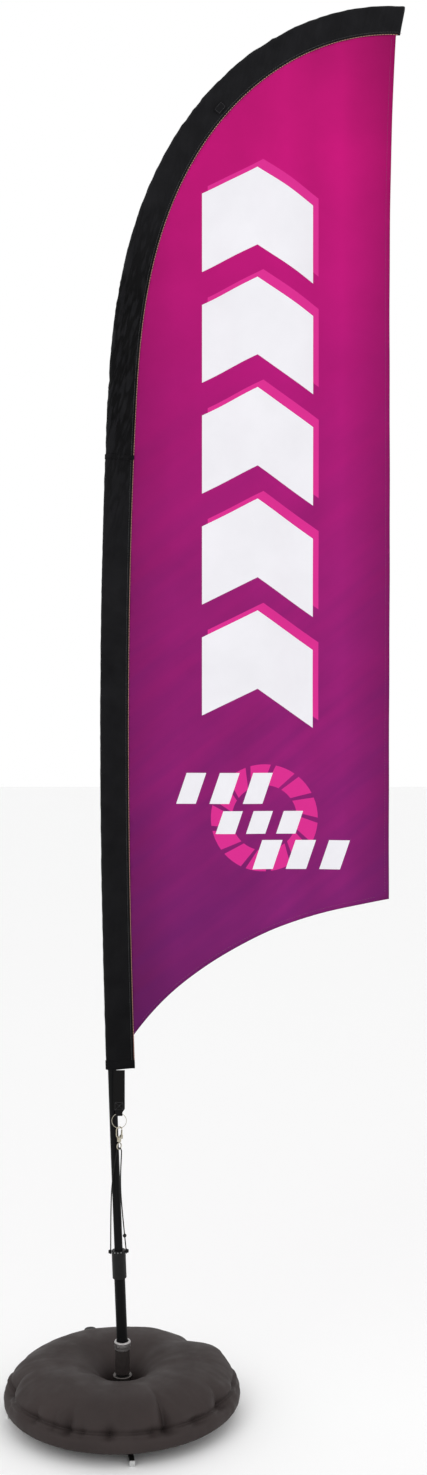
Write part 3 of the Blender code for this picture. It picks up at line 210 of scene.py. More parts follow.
def pole_line():
    steps = 1600
    length = np.linspace(0.0, POLE_LENGTH, steps + 1)
    into_tip = np.clip(1.0 - (POLE_LENGTH - length) / TIP_BEND_LENGTH, 0.0, None)
    angle = -POLE_LEAN + POLE_SWAY * (length / POLE_LENGTH) ** 2 + TIP_BEND * into_tip ** TIP_BEND_POWER
    middle = (angle[1:] + angle[:-1]) / 2
    step = POLE_LENGTH / steps
    x = math.tan(POLE_LEAN) * CUP_DEPTH / 2 + np.concatenate([[0.0], np.cumsum(np.sin(middle)) * step])
    z = POLE_FOOT + np.concatenate([[0.0], np.cumsum(np.cos(middle)) * step])
    return length, x, z, angle


LINE = pole_line()


def pole_at(place, inward=0.0, across=0.0):
    """A point beside the pole: inward is towards the flag, across is along Y."""
    length, xs, zs, angles = LINE
    angle = float(np.interp(place, length, angles))
    beyond = max(0.0, place - POLE_LENGTH)
    x = float(np.interp(place, length, xs)) + math.sin(angle) * beyond
    z = float(np.interp(place, length, zs)) + math.cos(angle) * beyond
    return Vector((x + math.cos(angle) * inward, across, z - math.sin(angle) * inward))


def sleeve_radius(place):
    """The sleeve's radius where it wraps the pole."""
    return float(np.interp(place, *SLEEVE_FITS))


def evenly(start, end, spacing):
    count = max(1, round(abs(end - start) / spacing))
    return [start + (end - start) * i / count for i in range(count + 1)]


# ---------------------------------------------------------------- mesh helpers

def piece(name, points, faces, finishes, body, slot):
    """A smooth-shaded mesh object that rides on a body and wears the given finishes; its slot is not used."""
    mesh = bpy.data.meshes.new(name)
    mesh.from_pydata([tuple(p) for p in points], [], faces)
    for made in finishes:
        mesh.materials.append(made)
    mesh.validate()
    mesh.shade_smooth()
    obj = bpy.data.objects.new(name, mesh)
    bpy.context.scene.collection.objects.link(obj)
    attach(obj, body)
    return obj


def skin_faces(rows, count, closed, offset=0):
    """Quads over rows of points; a closed row joins its last point to its first."""
    faces = []
    for row in range(rows - 1):
        for i in range(count if closed else count - 1):
            a = offset + row * count + i
            b = offset + row * count + (i + 1) % count
            faces.append((a, b, b + count, a + count))
    return faces


def flip(faces):
    return [face[::-1] for face in faces]


def tube(route, radius, sides):
    """Points and faces of a round, capped tube; radius may be a function of the share along the route."""
    points = []
    up = Vector((0.0, 1.0, 0.0))
    last = len(route) - 1
    for i, at in enumerate(route):
        along = (route[min(last, i + 1)] - route[max(0, i - 1)]).normalized()
        side = along.cross(up)
        side = side.normalized() if side.length > 1e-4 else Vector((1.0, 0.0, 0.0))
        up = side.cross(along).normalized()
        size = radius(i / max(1, last)) if callable(radius) else radius
        for k in range(sides):
            a = math.tau * k / sides
            points.append(at + side * (size * math.cos(a)) + up * (size * math.sin(a)))
    faces = flip(skin_faces(last + 1, sides, True))
    faces.append(tuple(range(sides)))
    faces.append(tuple(reversed(range(last * sides, (last + 1) * sides))))
    return points, faces


def gather(parts):
    """Join several (points, faces) into one."""
    points, faces = [], []
    for some_points, some_faces in parts:
        offset = len(points)
        points += some_points
        faces += [tuple(i + offset for i in face) for face in some_faces]
    return points, faces


def walk(route, spacing):
    """Points at an even spacing along a route."""
    lengths = [0.0]
    for a, b in zip(route, route[1:]):
        lengths.append(lengths[-1] + (b - a).length)
    out = []
    columns = [[p[k] for p in route] for k in range(len(route[0]))]
    for at in evenly(0.0, lengths[-1], spacing):
        out.append(Vector([float(np.interp(at, lengths, column)) for column in columns]))
    return out


def stitches(route, pitch, radius=0.45 * MM, share=0.62):
    """Short threads one after another along a route."""
    marks = walk(route, pitch)
    parts = []
    for a, b in zip(marks, marks[1:]):
        reach = (b - a) * share
        parts.append(tube([a, a + reach * 0.12, a + reach * 0.88, a + reach],
                          lambda t: radius * (0.45 if t in (0.0, 1.0) else 1.0), 5))
    return gather(parts)


def smoothed(points, spacing):
    """Points along a smooth curve through the given ones."""
    ends = [points[0] * 2 - points[1]] + points + [points[-1] * 2 - points[-2]]
    out = [points[0]]
    for a, b, c, d in zip(ends, ends[1:], ends[2:], ends[3:]):
        count = max(1, round((c - b).length / spacing))
        for i in range(1, count + 1):
            t = i / count
            out.append(0.5 * ((2 * b) + (c - a) * t + (2 * a - 5 * b + 4 * c - d) * t ** 2
                              + (3 * b - a - 3 * c + d) * t ** 3))
    return out


def modifier(obj, kind, **settings):
    made = obj.modifiers.new(kind.title(), kind)
    for key, value in settings.items():
        setattr(made, key, value)
    return made


# ---------------------------------------------------------------- finishes

def add(tree, kind, inputs=None, **settings):
    made = tree.nodes.new(kind)
    for key, value in settings.items():
        setattr(made, key, value)
    for key, value in (inputs or {}).items():
        if isinstance(value, bpy.types.NodeSocket):
            tree.links.new(value, made.inputs[key])
        else:
            made.inputs[key].default_value = value
    return made


def finish(name, colour, roughness, metallic=0.0, constants=None):
    """A new material with its Principled shader."""
    made = bpy.data.materials.new(name)
    made.use_nodes = True
    shader = made.node_tree.nodes["Principled BSDF"]
    shader.inputs["Base Color"].default_value = (*colour, 1.0)
    shader.inputs["Roughness"].default_value = roughness
    shader.inputs["Metallic"].default_value = metallic
    for key, value in (constants or {}).items():
        shader.inputs[key].default_value = value
    made.diffuse_color = (*colour, 1.0)
    return made, made.node_tree, shader


def spread_out(tree, size, turn=(0.0, 0.0, 0.0)):
    """Object coordinates measured in features of this size, one number or three, along turned axes."""
    coords = add(tree, "ShaderNodeTexCoord")
    size = size if isinstance(size, tuple) else (size, size, size)
    inputs = {"Vector": coords.outputs["Object"], "Scale": size, "Rotation": turn}
    return add(tree, "ShaderNodeMapping", inputs, vector_type='TEXTURE').outputs["Vector"]


def cloud(tree, size, detail=4.0, rough=0.55, turn=(0.0, 0.0, 0.0)):
    made = add(tree, "ShaderNodeTexNoise", {"Vector": spread_out(tree, size, turn), "Scale": 1.0,
                                            "Detail": detail, "Roughness": rough})
    return made.outputs["Fac"]


def threads(tree, size, turn, direction):
    """Bands as wide as one thread."""
    inputs = {"Vector": spread_out(tree, size, turn), "Scale": 1.0, "Distortion": 0.35, "Detail": 1.0}
    return add(tree, "ShaderNodeTexWave", inputs, bands_direction=direction).outputs["Fac"]


def share_along(tree, axis, low, high):
    """How far a place lies along one of the object's axes: 0 at low, 1 at high."""
    coords = add(tree, "ShaderNodeTexCoord")
    split = add(tree, "ShaderNodeSeparateXYZ", {0: coords.outputs["Object"]})
    inputs = {"Value": split.outputs[axis], "From Min": low, "From Max": high}
    return add(tree, "ShaderNodeMapRange", inputs).outputs["Result"]


def ramp(tree, factor, stops):
    made = add(tree, "ShaderNodeValToRGB", {"Fac": factor})
    band = made.color_ramp
    while len(band.elements) < len(stops):
        band.elements.new(0.5)
    for element, (place, colour) in zip(band.elements, stops):
        element.position = place
        element.color = (*colour, 1.0)
    return made.outputs["Color"]


def grey_ramp(tree, factor, *stops):
    return ramp(tree, factor, [(place, (value, value, value)) for place, value in stops])


def blended(tree, kind, share, first, second):
    """Two colours mixed; share and the colours may be values or sockets."""
    made = add(tree, "ShaderNodeMix", data_type='RGBA', blend_type=kind)
    for socket, value in ((made.inputs[0], share), (made.inputs[6], first), (made.inputs[7], second)):
        if isinstance(value, bpy.types.NodeSocket):
            tree.links.new(value, socket)
        else:
            socket.default_value = value
    return made.outputs[2]


def sum_of(tree, first, second, share=1.0):
    """The first value plus a share of the second."""
    made = add(tree, "ShaderNodeMath", {0: second, 1: share, 2: first}, operation='MULTIPLY_ADD')
    return made.outputs[0]


def product(tree, first, second):
    return add(tree, "ShaderNodeMath", {0: first, 1: second}, operation='MULTIPLY').outputs[0]


def raised(tree, shader, height, depth, strength=0.6):
    """Add a relief to a shader, over any that it has."""
    made = add(tree, "ShaderNodeBump", {"Height": height, "Distance": depth, "Strength": strength})
    before = shader.inputs["Normal"]
    if before.is_linked:
        tree.links.new(before.links[0].from_socket, made.inputs["Normal"])
    tree.links.new(made.outputs["Normal"], before)


def tinted(tree, shader, factor, low, high):
    """Base colour running between two colours."""
    tree.links.new(ramp(tree, factor, [(0.3, low), (0.7, high)]), shader.inputs["Base Color"])


def worn(tree, shader, factor, low, high):
    """Roughness running between two values."""
    tree.links.new(grey_ramp(tree, factor, (0.3, low), (0.7, high)), shader.inputs["Roughness"])


def scaled(colour, share):
    return tuple(c * share for c in colour)


FINISHES = {}


def once(make):
    """Each finish is made the first time it is asked for."""
    def asked():
        if make.__name__ not in FINISHES:
            FINISHES[make.__name__] = make()
        return FINISHES[make.__name__]
    return asked


def plain(name, colour, roughness, metallic=0.0, constants=None, tone=None, gloss=None, relief=None):
    """A finish of one colour whose tone, gloss and relief vary, each over patches of its own size and detail.

    tone ends with its lowest and highest share of the colour, gloss with its lowest and highest roughness, and
    relief with its depth and strength.
    """
    def make():
        made, tree, shader = finish(name, colour, roughness, metallic, constants)
        size, detail, low, high = tone
        tinted(tree, shader, cloud(tree, size, detail), scaled(colour, low), scaled(colour, high))
        if gloss:
            size, detail, low, high = gloss
            worn(tree, shader, cloud(tree, size, detail), low, high)
        if relief:
            size, detail, depth, strength = relief
            raised(tree, shader, cloud(tree, size, detail), depth, strength)
        return made

    make.__name__ = name
    return once(make)


# Satin black powder coat with its fine orange peel
powder_coat = plain(
    "powder_coat", shade(24, 24, 25), 0.45, constants={"Specular IOR Level": 0.3},
    tone=(30 * MM, 4.0, 0.8, 1.35), gloss=(6 * MM, 4.0, 0.38, 0.55), relief=(0.9 * MM, 2.0, 0.08 * MM, 0.5))
# Bright steel with the lathe's fine rings
turned_steel = plain(
    "turned_steel", shade(178, 178, 181), 0.3, 1.0, {"Anisotropic": 0.35}, tone=(9 * MM, 4.0, 0.8, 1.0),
    gloss=((20 * MM, 20 * MM, 0.5 * MM), 4.0, 0.22, 0.42),
    relief=((30 * MM, 30 * MM, 0.3 * MM), 2.0, 0.02 * MM, 0.4))
# Bright plating with faint clouding
chrome_plate = plain(
    "chrome_plate", shade(178, 175, 174), 0.34, 1.0, tone=(14 * MM, 4.0, 0.78, 1.0),
    gloss=(4 * MM, 6.0, 0.26, 0.44))
# Oiled dark steel plate
dull_steel = plain(
    "dull_steel", shade(104, 99, 97), 0.42, 1.0, tone=(11 * MM, 4.0, 0.62, 1.0),
    gloss=(3 * MM, 6.0, 0.34, 0.55))
# Dark warm grey satin coat over the turned housing
satin_housing = plain(
    "satin_housing", shade(44, 39, 38), 0.42, constants={"Specular IOR Level": 0.3},
    tone=(16 * MM, 4.0, 0.8, 1.25), gloss=(4 * MM, 4.0, 0.36, 0.52),
    relief=((24 * MM, 24 * MM, 0.4 * MM), 2.0, 0.03 * MM, 0.4))
# Pale grey moulded plugs, scuffed in patches
plug_plastic = plain(
    "plug_plastic", shade(196, 197, 196), 0.5, tone=(7 * MM, 6.0, 0.72, 1.0), gloss=(3 * MM, 4.0, 0.4, 0.65),
    relief=(0.7 * MM, 2.0, 0.05 * MM, 0.6))
# Black moulded plastic with a fine spark-eroded grain
moulded_black = plain(
    "moulded_black", shade(18, 18, 18), 0.5, constants={"Specular IOR Level": 0.2},
    tone=(18 * MM, 4.0, 0.75, 1.3), gloss=(5 * MM, 4.0, 0.42, 0.6), relief=(0.6 * MM, 3.0, 0.06 * MM, 0.5))
# Matt black rubber
rubber = plain(
    "rubber", shade(26, 26, 26), 0.85, constants={"Specular IOR Level": 0.2}, tone=(4 * MM, 4.0, 0.8, 1.2),
    relief=(0.5 * MM, 4.0, 0.05 * MM, 0.6))


@once
def nickel_plate():
    """Plated wire, a little yellow and dulled with handling."""
    colour = shade(192, 188, 177)
    made, tree, shader = finish("nickel_plate", colour, 0.24, 1.0)
    tinted(tree, shader, cloud(tree, 5 * MM), shade(158, 150, 124), colour)
    worn(tree, shader, cloud(tree, 2 * MM, 6.0), 0.16, 0.38)
    return made


@once
def fibreglass():
    """Lacquered black tube with long glass strands under the lacquer."""
    colour = shade(10, 10, 11)
    made, tree, shader = finish("fibreglass", colour, 0.45, 0.0, {"Specular IOR Level": 0.09})
    strands = cloud(tree, (1.2 * MM, 1.2 * MM, 90 * MM), 3.0)
    tinted(tree, shader, strands, scaled(colour, 0.7), scaled(colour, 1.5))
    worn(tree, shader, cloud(tree, (4 * MM, 4 * MM, 60 * MM)), 0.38, 0.55)
    raised(tree, shader, strands, 0.04 * MM, 0.35)
    return made


@once
def bag_vinyl():
    """Dark warm grey coated cloth: fine calendered grain, faint mottling and dusty scuffs."""
    colour = tuple(bpy.context.scene.bow_flag_bag.vinyl)
    made, tree, shader = finish("bag_vinyl", colour, 0.6, 0.0, {"Specular IOR Level": 0.13})
    patches = cloud(tree, 0.11, 5.0)
    tinted(tree, shader, patches, scaled(colour, 0.86), scaled(colour, 1.12))
    worn(tree, shader, cloud(tree, 0.04, 6.0), 0.5, 0.7)
    grain = add(tree, "ShaderNodeTexVoronoi", {"Vector": spread_out(tree, 1.1 * MM), "Scale": 1.0})
    raised(tree, shader, grain.outputs["Distance"], 0.12 * MM, 0.35)
    raised(tree, shader, cloud(tree, 22 * MM, 3.0), 0.9 * MM, 0.25)
    return made


def knitted(name, colour, depth, sheen):
    """Warp-knitted polyester: ribs along the height, crossed by finer courses."""
    constants = {"Sheen Weight": sheen, "Sheen Roughness": 0.4, "Specular IOR Level": 0.1}
    made, tree, shader = finish(name, colour, 0.85, 0.0, constants)
    wales = threads(tree, 1.3 * MM, (0.0, 0.0, 0.0), 'X')
    courses = threads(tree, 0.9 * MM, (0.0, 0.0, 0.0), 'Z')
    raised(tree, shader, sum_of(tree, wales, courses, 0.6), depth, 0.4)
    return made, tree, shader


@once
def sleeve_knit():
    """Black stretch knit: darker low down, with slanting creases where the pole starts to bend, darkened there
    by painted shade and pressed in as a relief.
    """
    colour = tuple(bpy.context.scene.bow_flag_cloth.sleeve)
    made, tree, shader = knitted("sleeve_knit", colour, 0.15 * MM, 0.03)
    patches = ramp(tree, cloud(tree, 0.05, 5.0), [(0.3, scaled(colour, 0.8)), (0.7, scaled(colour, 1.25))])
    high = share_along(tree, "Z", 0.75, 3.05)
    fade = grey_ramp(tree, high, (0.0, 0.45), (0.12, 0.75), (0.5, 1.0), (1.0, 1.3))
    strained = grey_ramp(tree, high, (0.48, 0.0), (0.62, 1.0), (0.74, 1.0), (0.84, 0.15))
    folds = cloud(tree, (14 * MM, 60 * MM, 80 * MM), 3.0, 0.5, (0.0, math.radians(14), 0.0))
    lines = grey_ramp(tree, folds, (0.40, 0.0), (0.47, 1.0), (0.52, 1.0), (0.60, 0.0))
    share = product(tree, lines, strained)
    faded = blended(tree, 'MULTIPLY', 1.0, patches, fade)
    # Painted shade in the creases: where the pole bends, the crease lines darken the knit to 0.3 of its colour;
    # the same lines press the relief in.
    creased = blended(tree, 'MIX', share, faded, (*scaled(colour, 0.3), 1.0))
    tree.links.new(creased, shader.inputs["Base Color"])
    worn(tree, shader, cloud(tree, 0.03), 0.75, 0.92)
    raised(tree, shader, share, -1.5 * MM, 0.8)
    return made


@once
def dyed_print():
    """The panel's ground: magenta at the top running down to purple, with faint slanting streaks, and painted
    light across it: two lighter bands are painted highlights of the soft folds, and the darker side edges are
    partly the print's own shading and partly painted shade.
    """
    made, tree, shader = knitted("dyed_print", shade(150, 24, 106), 0.12 * MM, 0.0)
    high = share_along(tree, "Z", 0.80, 3.05)
    ground = ramp(tree, high, [
        (0.00, shade(99, 27, 90)), (0.13, shade(127, 30, 106)), (0.28, shade(143, 28, 110)),
        (0.45, shade(152, 26, 111)), (0.65, shade(172, 20, 114)), (0.88, shade(189, 17, 114)),
        (1.00, shade(172, 15, 102))])
    # Painted light across the panel: the two lighter bands are painted highlights on the soft folds; the darker
    # side edges are partly painted shade and partly the print's own shading.
    sides = grey_ramp(tree, share_along(tree, "X", 0.02, 0.60), (0.0, 0.70), (0.16, 0.94), (0.45, 0.98),
                      (0.585, 1.07), (0.69, 0.98), (0.80, 1.06), (0.90, 0.84), (1.0, 0.64))
    shaded = blended(tree, 'MULTIPLY', 1.0, ground, sides)
    streaks = cloud(tree, (0.34, 0.4, 0.035), 3.0, 0.5, (0.0, math.radians(-38), 0.0))
    fade = grey_ramp(tree, high, (0.2, 0.34), (0.75, 0.0))
    share = product(tree, grey_ramp(tree, streaks, (0.36, 0.0), (0.66, 1.0)), fade)
    streaked = blended(tree, 'MIX', share, shaded, (*shade(90, 26, 96), 1.0))
    patches = grey_ramp(tree, cloud(tree, 0.16, 3.0), (0.3, 0.93), (0.7, 1.05))
    tree.links.new(blended(tree, 'MULTIPLY', 1.0, streaked, patches), shader.inputs["Base Color"])
    return made


def printed(name, colour):
    """Ink over the ground: the same knit, very slightly uneven."""
    made, tree, shader = knitted(name, colour, 0.12 * MM, 0.0)
    tinted(tree, shader, cloud(tree, 0.12, 3.0), scaled(colour, 0.95), colour)
    return made


@once
def white_print():
    return printed("white_print", tuple(bpy.context.scene.bow_flag_cloth.print_white))


@once
def pink_print():
    return printed("pink_print", tuple(bpy.context.scene.bow_flag_cloth.print_pink))


@once
def webbing():
    """Woven polypropylene tape: ribs across, fine edges."""
    colour = shade(12, 11, 11)
    constants = {"Sheen Weight": 0.05, "Sheen Roughness": 0.4, "Specular IOR Level": 0.15}
    made, tree, shader = finish("webbing", colour, 0.78, 0.0, constants)
    ribs = threads(tree, 2.2 * MM, (0.0, 0.0, 0.0), 'Z')
    lines = threads(tree, 1.5 * MM, (0.0, math.radians(20), 0.0), 'X')
    tinted(tree, shader, ribs, scaled(colour, 0.7), scaled(colour, 1.4))
    raised(tree, shader, sum_of(tree, ribs, lines, 0.7), 0.4 * MM, 0.6)
    return made


@once
def elastic_braid():
    """Shock cord in a braided cover."""
    colour = shade(14, 14, 14)
    made, tree, shader = finish("elastic_braid", colour, 0.7, 0.0, {"Specular IOR Level": 0.2})
    one = threads(tree, 1.6 * MM, (0.0, math.radians(40), 0.0), 'Z')
    other = threads(tree, 1.6 * MM, (0.0, math.radians(-40), 0.0), 'Z')
    tinted(tree, shader, one, scaled(colour, 0.7), scaled(colour, 1.7))
    raised(tree, shader, sum_of(tree, one, other), 0.25 * MM, 0.6)
    return made


def sewing_thread(name, colour):
    made, tree, shader = finish(name, colour, 0.6, 0.0, {"Sheen Weight": 0.3})
    twist = threads(tree, 0.5 * MM, (0.0, math.radians(35), 0.0), 'X')
    tinted(tree, shader, twist, scaled(colour, 0.75), colour)
    raised(tree, shader, twist, 0.08 * MM, 0.5)
    return made


@once
def salmon_thread():
    return sewing_thread("salmon_thread", tuple(bpy.context.scene.bow_flag_cloth.thread))


@once
def black_thread():
    return sewing_thread("black_thread", shade(36, 36, 38))


@once
def plum_thread():
    return sewing_thread("plum_thread", shade(124, 34, 98))


# ---------------------------------------------------------------- panel

def free_edge_x(height):
    """The free edge is nearly upright and flares out towards the top."""
    top = pole_at(POLE_LENGTH, SLEEVE_WIDTH).z
    return PANEL_EDGE + PANEL_EDGE_FLARE * math.exp((height - top) / PANEL_EDGE_FLARE_HEIGHT)


def sewn_edge(tuck, spacing):
    """(x, z) points up the edge that is sewn to the sleeve."""
    route = []
    for place in evenly(PANEL_START, POLE_LENGTH, spacing):
        at = pole_at(place, SLEEVE_WIDTH - sleeve_radius(place) - tuck)
        route.append(Vector((at.x, at.z)))
    return route


def free_edges(spacing):
    """(x, z) points down the free edge and back along the curved lower edge."""
    top = sewn_edge(PANEL_TUCK, 1.0)[-1].y
    down = [Vector((free_edge_x(z), z)) for z in evenly(top, PANEL_CORNER_HEIGHT, spacing)]
    corner = down[-1]
    start = sewn_edge(PANEL_TUCK, 1.0)[0]
    pull = Vector(HEM_PULL)
    back = [corner * (1 - t) ** 2 + pull * (2 * t * (1 - t)) + start * t ** 2
            for t in evenly(0.0, 1.0, 1 / HEM_STEPS)]
    return down, back


def inside(points, loop):
    """Which (n, 2) points lie inside a closed loop."""
    x, z = points[:, 0], points[:, 1]
    found = np.zeros(len(points), bool)
    for (ax, az), (bx, bz) in zip(loop, loop[1:] + loop[:1]):
        if az == bz:
            continue
        crosses = (az > z) != (bz > z)
        found ^= crosses & (x < (bx - ax) * (z - az) / (bz - az) + ax)
    return found


def far_from(points, routes, room):
    """Which points lie at least this far from every route's points."""
    kept = np.ones(len(points), bool)
    for route in routes:
        marks = np.array([tuple(p) for p in route])
        for low in range(0, len(points), 512):
            part = points[low:low + 512]
            gap = np.sqrt(((part[:, None] - marks[None]) ** 2).sum(2)).min(1)
            kept[low:low + 512] &= gap > room
    return kept


def chevron(left, right, top):
    """An arrow block: pointed above, notched below, leaning down to the right."""
    middle = (left + right) / 2
    low = top - BLOCK_HEIGHT
    half = BLOCK_SLANT / 2
    peak = BLOCK_POINT / 6
    return [(left, top + half - BLOCK_POINT), (middle, top + peak), (right, top - half - BLOCK_POINT),
            (right, low - half - BLOCK_POINT), (middle, low + peak), (left, low + half - BLOCK_POINT)]


def slanted_bar(left, right, low, high):
    lean = (high - low) * BAR_SLANT
    return [(left, low), (right - lean, low), (right, high), (left + lean, high)]


def wheel_block(index):
    """One block of the broken ring."""
    cx, cz = WHEEL_CENTRE
    inner, outer = WHEEL_RADII
    start = math.tau * index / WHEEL_BLOCKS
    span = math.tau / WHEEL_BLOCKS * WHEEL_FILL
    arc_out = [(cx + outer * math.cos(start + span * t), cz + outer * math.sin(start + span * t))
               for t in evenly(0.0, 1.0, WHEEL_STEP)]
    start += WHEEL_LEAN
    arc_in = [(cx + inner * math.cos(start + span * t), cz + inner * math.sin(start + span * t))
              for t in evenly(1.0, 0.0, WHEEL_STEP)]
    return arc_out + arc_in


def print_shapes():
    """The printed outlines: white ones, and pink ones behind them."""
    white, pink = [], []
    for i in range(COLUMN_BLOCKS):
        block = chevron(COLUMN_LEFT, COLUMN_RIGHT, COLUMN_TOP - COLUMN_PITCH * i)
        white.append(block)
        pink.append([(x + SHADOW_OFFSET[0], z + SHADOW_OFFSET[1]) for x, z in block])
    pink += [wheel_block(i) for i in range(WHEEL_BLOCKS)]
    for left, right, low, high in BARS:
        step = (right - left) / BAR_PARTS
        white += [slanted_bar(left + step * i, left + step * (i + 1) - BAR_GAP, low, high)
                  for i in range(BAR_PARTS)]
    return white, pink


def loop_points(loop, spacing):
    """Points round a closed outline, with each of its corners kept."""
    route = []
    for a, b in zip(loop, loop[1:] + loop[:1]):
        route += walk([Vector(a), Vector(b)], spacing)[:-1]
    return route


def flat_panel(settings):
    """The panel cut flat: (x, z) points, triangles and each triangle's print."""
    sewn = sewn_edge(PANEL_TUCK, settings.grid)
    down, back = free_edges(settings.grid)
    outline = sewn + down + back[1:-1]
    white, pink = print_shapes()
    inner = [Vector((p.x - settings.hem, p.y)) for p in down[1:-1]]
    lift = [Vector((p.x, p.y + settings.hem)) for p in back[2:-3]]
    routes = [outline, inner, lift] + [loop_points(loop, settings.grid) for loop in pink + white]

    points, edges = [], []
    for route in routes:
        start = len(points)
        points += route
        count = len(route)
        steps = count - 1 if route in (inner, lift) else count
        edges += [(start + i, start + (i + 1) % count) for i in range(steps)]
    loop = [tuple(p) for p in outline]
    low = np.array(loop).min(0)
    high = np.array(loop).max(0)
    rows = []
    for j, z in enumerate(evenly(low[1], high[1], settings.grid * 0.87)):
        shift = settings.grid / 2 if j % 2 else 0.0
        rows += [(x + shift, z) for x in evenly(low[0], high[0], settings.grid)]
    grid = np.array(rows)
    grid = grid[inside(grid, loop)]
    grid = grid[far_from(grid, routes, settings.grid * 0.45)]
    points += [Vector(p) for p in grid]

    flat, _, faces, _, _, _ = delaunay_2d_cdt(points, edges, [], 1, 1e-6, True)
    flat = np.array([tuple(p) for p in flat])
    faces = [tuple(face) for face in faces]
    centres = np.array([flat[list(face)].mean(0) for face in faces])
    kept = inside(centres, loop)
    prints = np.zeros(len(faces), int)
    for number, shapes in ((2, pink), (1, white)):
        for shape in shapes:
            prints[inside(centres, shape)] = number
    faces = [face for face, keep in zip(faces, kept) if keep]
    return flat, faces, prints[kept]


def ripple(flat, settings):
    """How far each point of the flat panel stands off its plane: soft folds that die out at the sewn edge."""
    sewn = np.array([tuple(p) for p in sewn_edge(PANEL_TUCK, 20 * MM)])
    gap = np.sqrt(((flat[:, None] - sewn[None]) ** 2).sum(2)).min(1)
    free = 1.0 - np.exp(-(gap / SEWN_HOLD) ** 1.5)
    x, z = flat[:, 0], flat[:, 1]
    fall = (3.05 - z) / 2.0
    # Long folds down the panel, narrow ones that fade lower down, a slow sway and small cross folds
    folds = (0.95 * np.sin(math.tau * (x - 0.06 * z) / 0.30 + 1.1 + 0.5 * np.sin(1.7 * z))
             + 0.40 * np.sin(math.tau * (x + 0.10 * z) / 0.135 + 0.4) * (1.0 - 0.6 * np.clip(fall, 0, 1))
             + 0.45 * np.sin(math.tau * z / 1.35 + 2.5 * x)
             + 0.16 * np.sin(math.tau * (z + 0.7 * x) / 0.23))
    return settings.ripple * free * folds


class BOWFLAG_OT_panel(Operator):
    """Cut, print, hem and hang the flag's panel"""
    bl_idname = "bow_flag.panel"
    bl_label = "Panel"

    def execute(self, context):
        settings = context.scene.bow_flag_cloth
        flat, faces, prints = flat_panel(settings)
        off = ripple(flat, settings)
        points = [(x, y, z) for (x, z), y in zip(flat, off)]
        panel = piece("printed_panel", points, faces, [dyed_print(), white_print(), pink_print()], "pole",
                      "panel_cloth")
        if len(panel.data.polygons) != len(faces):
            raise RuntimeError("the panel's cut left bad faces")
        panel.data.polygons.foreach_set("material_index", prints.astype(np.int32))

        down, back = free_edges(settings.grid)
        edge = np.array([tuple(p) for p in down + back])
        gap = np.sqrt(((flat[:, None] - edge[None]) ** 2).sum(2)).min(1)
        thick = panel.vertex_groups.new(name="hem")
        thick.add([int(i) for i in np.nonzero(gap < settings.hem * HEM_REACH)[0]], 1.0, 'REPLACE')
        modifier(panel, 'SOLIDIFY', thickness=HEM_THICK, offset=0.0, vertex_group="hem",
                 thickness_vertex_group=PANEL_CLOTH / HEM_THICK)
        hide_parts("flag_panel")

        seams = []
        tree = BVHTree.FromPolygons([(x, 0.0, z) for x, z in flat], faces)
        inset = settings.hem * HEM_SEAM
        for route in ([Vector((p.x - inset, p.y)) for p in down[1:-1]],
                      [Vector((p.x, p.y + inset)) for p in back[2:-3]]):
            for side in (-1.0, 1.0):
                seams.append(stitches([on_cloth(tree, flat, faces, panel, p, side * HEM_THICK * 0.52)
                                       for p in walk(route, 4 * MM)], settings.stitch, 0.35 * MM))
        hem = piece("hem_stitches", *gather(seams), [plum_thread()], "pole", "panel_cloth")
        high = np.array([tuple(p) for p in sewn_edge(0.0, 20 * MM) + down]).max(0)
        area = sum(((Vector(flat[b]) - Vector(flat[a])).cross(Vector(flat[c]) - Vector(flat[a]))) / 2
                   for a, b, c in faces)
        return {'FINISHED'}


def on_cloth(tree, flat, faces, panel, at, lift):
    """The place on the hung cloth of a point of the flat cut."""
    _, _, index, _ = tree.find_nearest(Vector((at.x, 0.0, at.y)))
    corners = faces[index]
    source = [Vector((*flat[i], 0.0)) for i in corners]
    target = [panel.data.vertices[i].co for i in corners]
    spot = barycentric_transform(Vector((at.x, at.y, 0.0)), *source, *target)
    return spot + Vector((0.0, lift, 0.0))


# ---------------------------------------------------------------- sleeve

def sleeve_section(place, flatten=1.0):
    """(inward, across) points round the sleeve: round the pole, in to the sewn lip and back."""
    radius = sleeve_radius(place)
    reach = SLEEVE_WIDTH - radius
    root = reach - SLEEVE_LIP
    turn = math.atan2(LIP_HALF, root) + math.acos(radius / math.hypot(root, LIP_HALF))
    touch = (radius * math.cos(turn), radius * math.sin(turn))
    upper = [(reach, LIP_HALF * 0.7), (reach - 1.2 * MM, LIP_HALF), (root, LIP_HALF)]
    upper += [(root + (touch[0] - root) * t, LIP_HALF + (touch[1] - LIP_HALF) * t)
              for t in (0.2, 0.4, 0.6, 0.8)]
    arc = [(radius * math.cos(a), radius * math.sin(a)) for a in evenly(turn, math.tau - turn, SECTION_STEP)]
    lower = [(x, -y) for x, y in reversed(upper)]
    return [(x, y * flatten) for x, y in upper + arc + lower]


def crease(place, inward, across, depth):
    """How far the cloth stands off its plain shape: slanting creases, strongest where the pole bends."""
    bend = CREASE_PLAIN
    for at, wide, share in CREASE_BENDS:
        bend += share * math.exp(-((place - at) / wide) ** 2)
    lean = 1.0 if across < 0 else -1.0
    slanting = noise.noise(Vector((place * 26.0 + lean * inward * 30.0, inward * 12.0, lean * 2.0)))
    fine = noise.noise(Vector((place * 70.0 - lean * inward * 40.0, inward * 30.0, 7.0 + lean)))
    held = min(1.0, max(0.0, (SLEEVE_WIDTH - SLEEVE_LIP - inward) / 0.03 - 0.4))
    return depth * bend * held * (1.0 - 2.6 * abs(slanting) + 0.5 * fine)


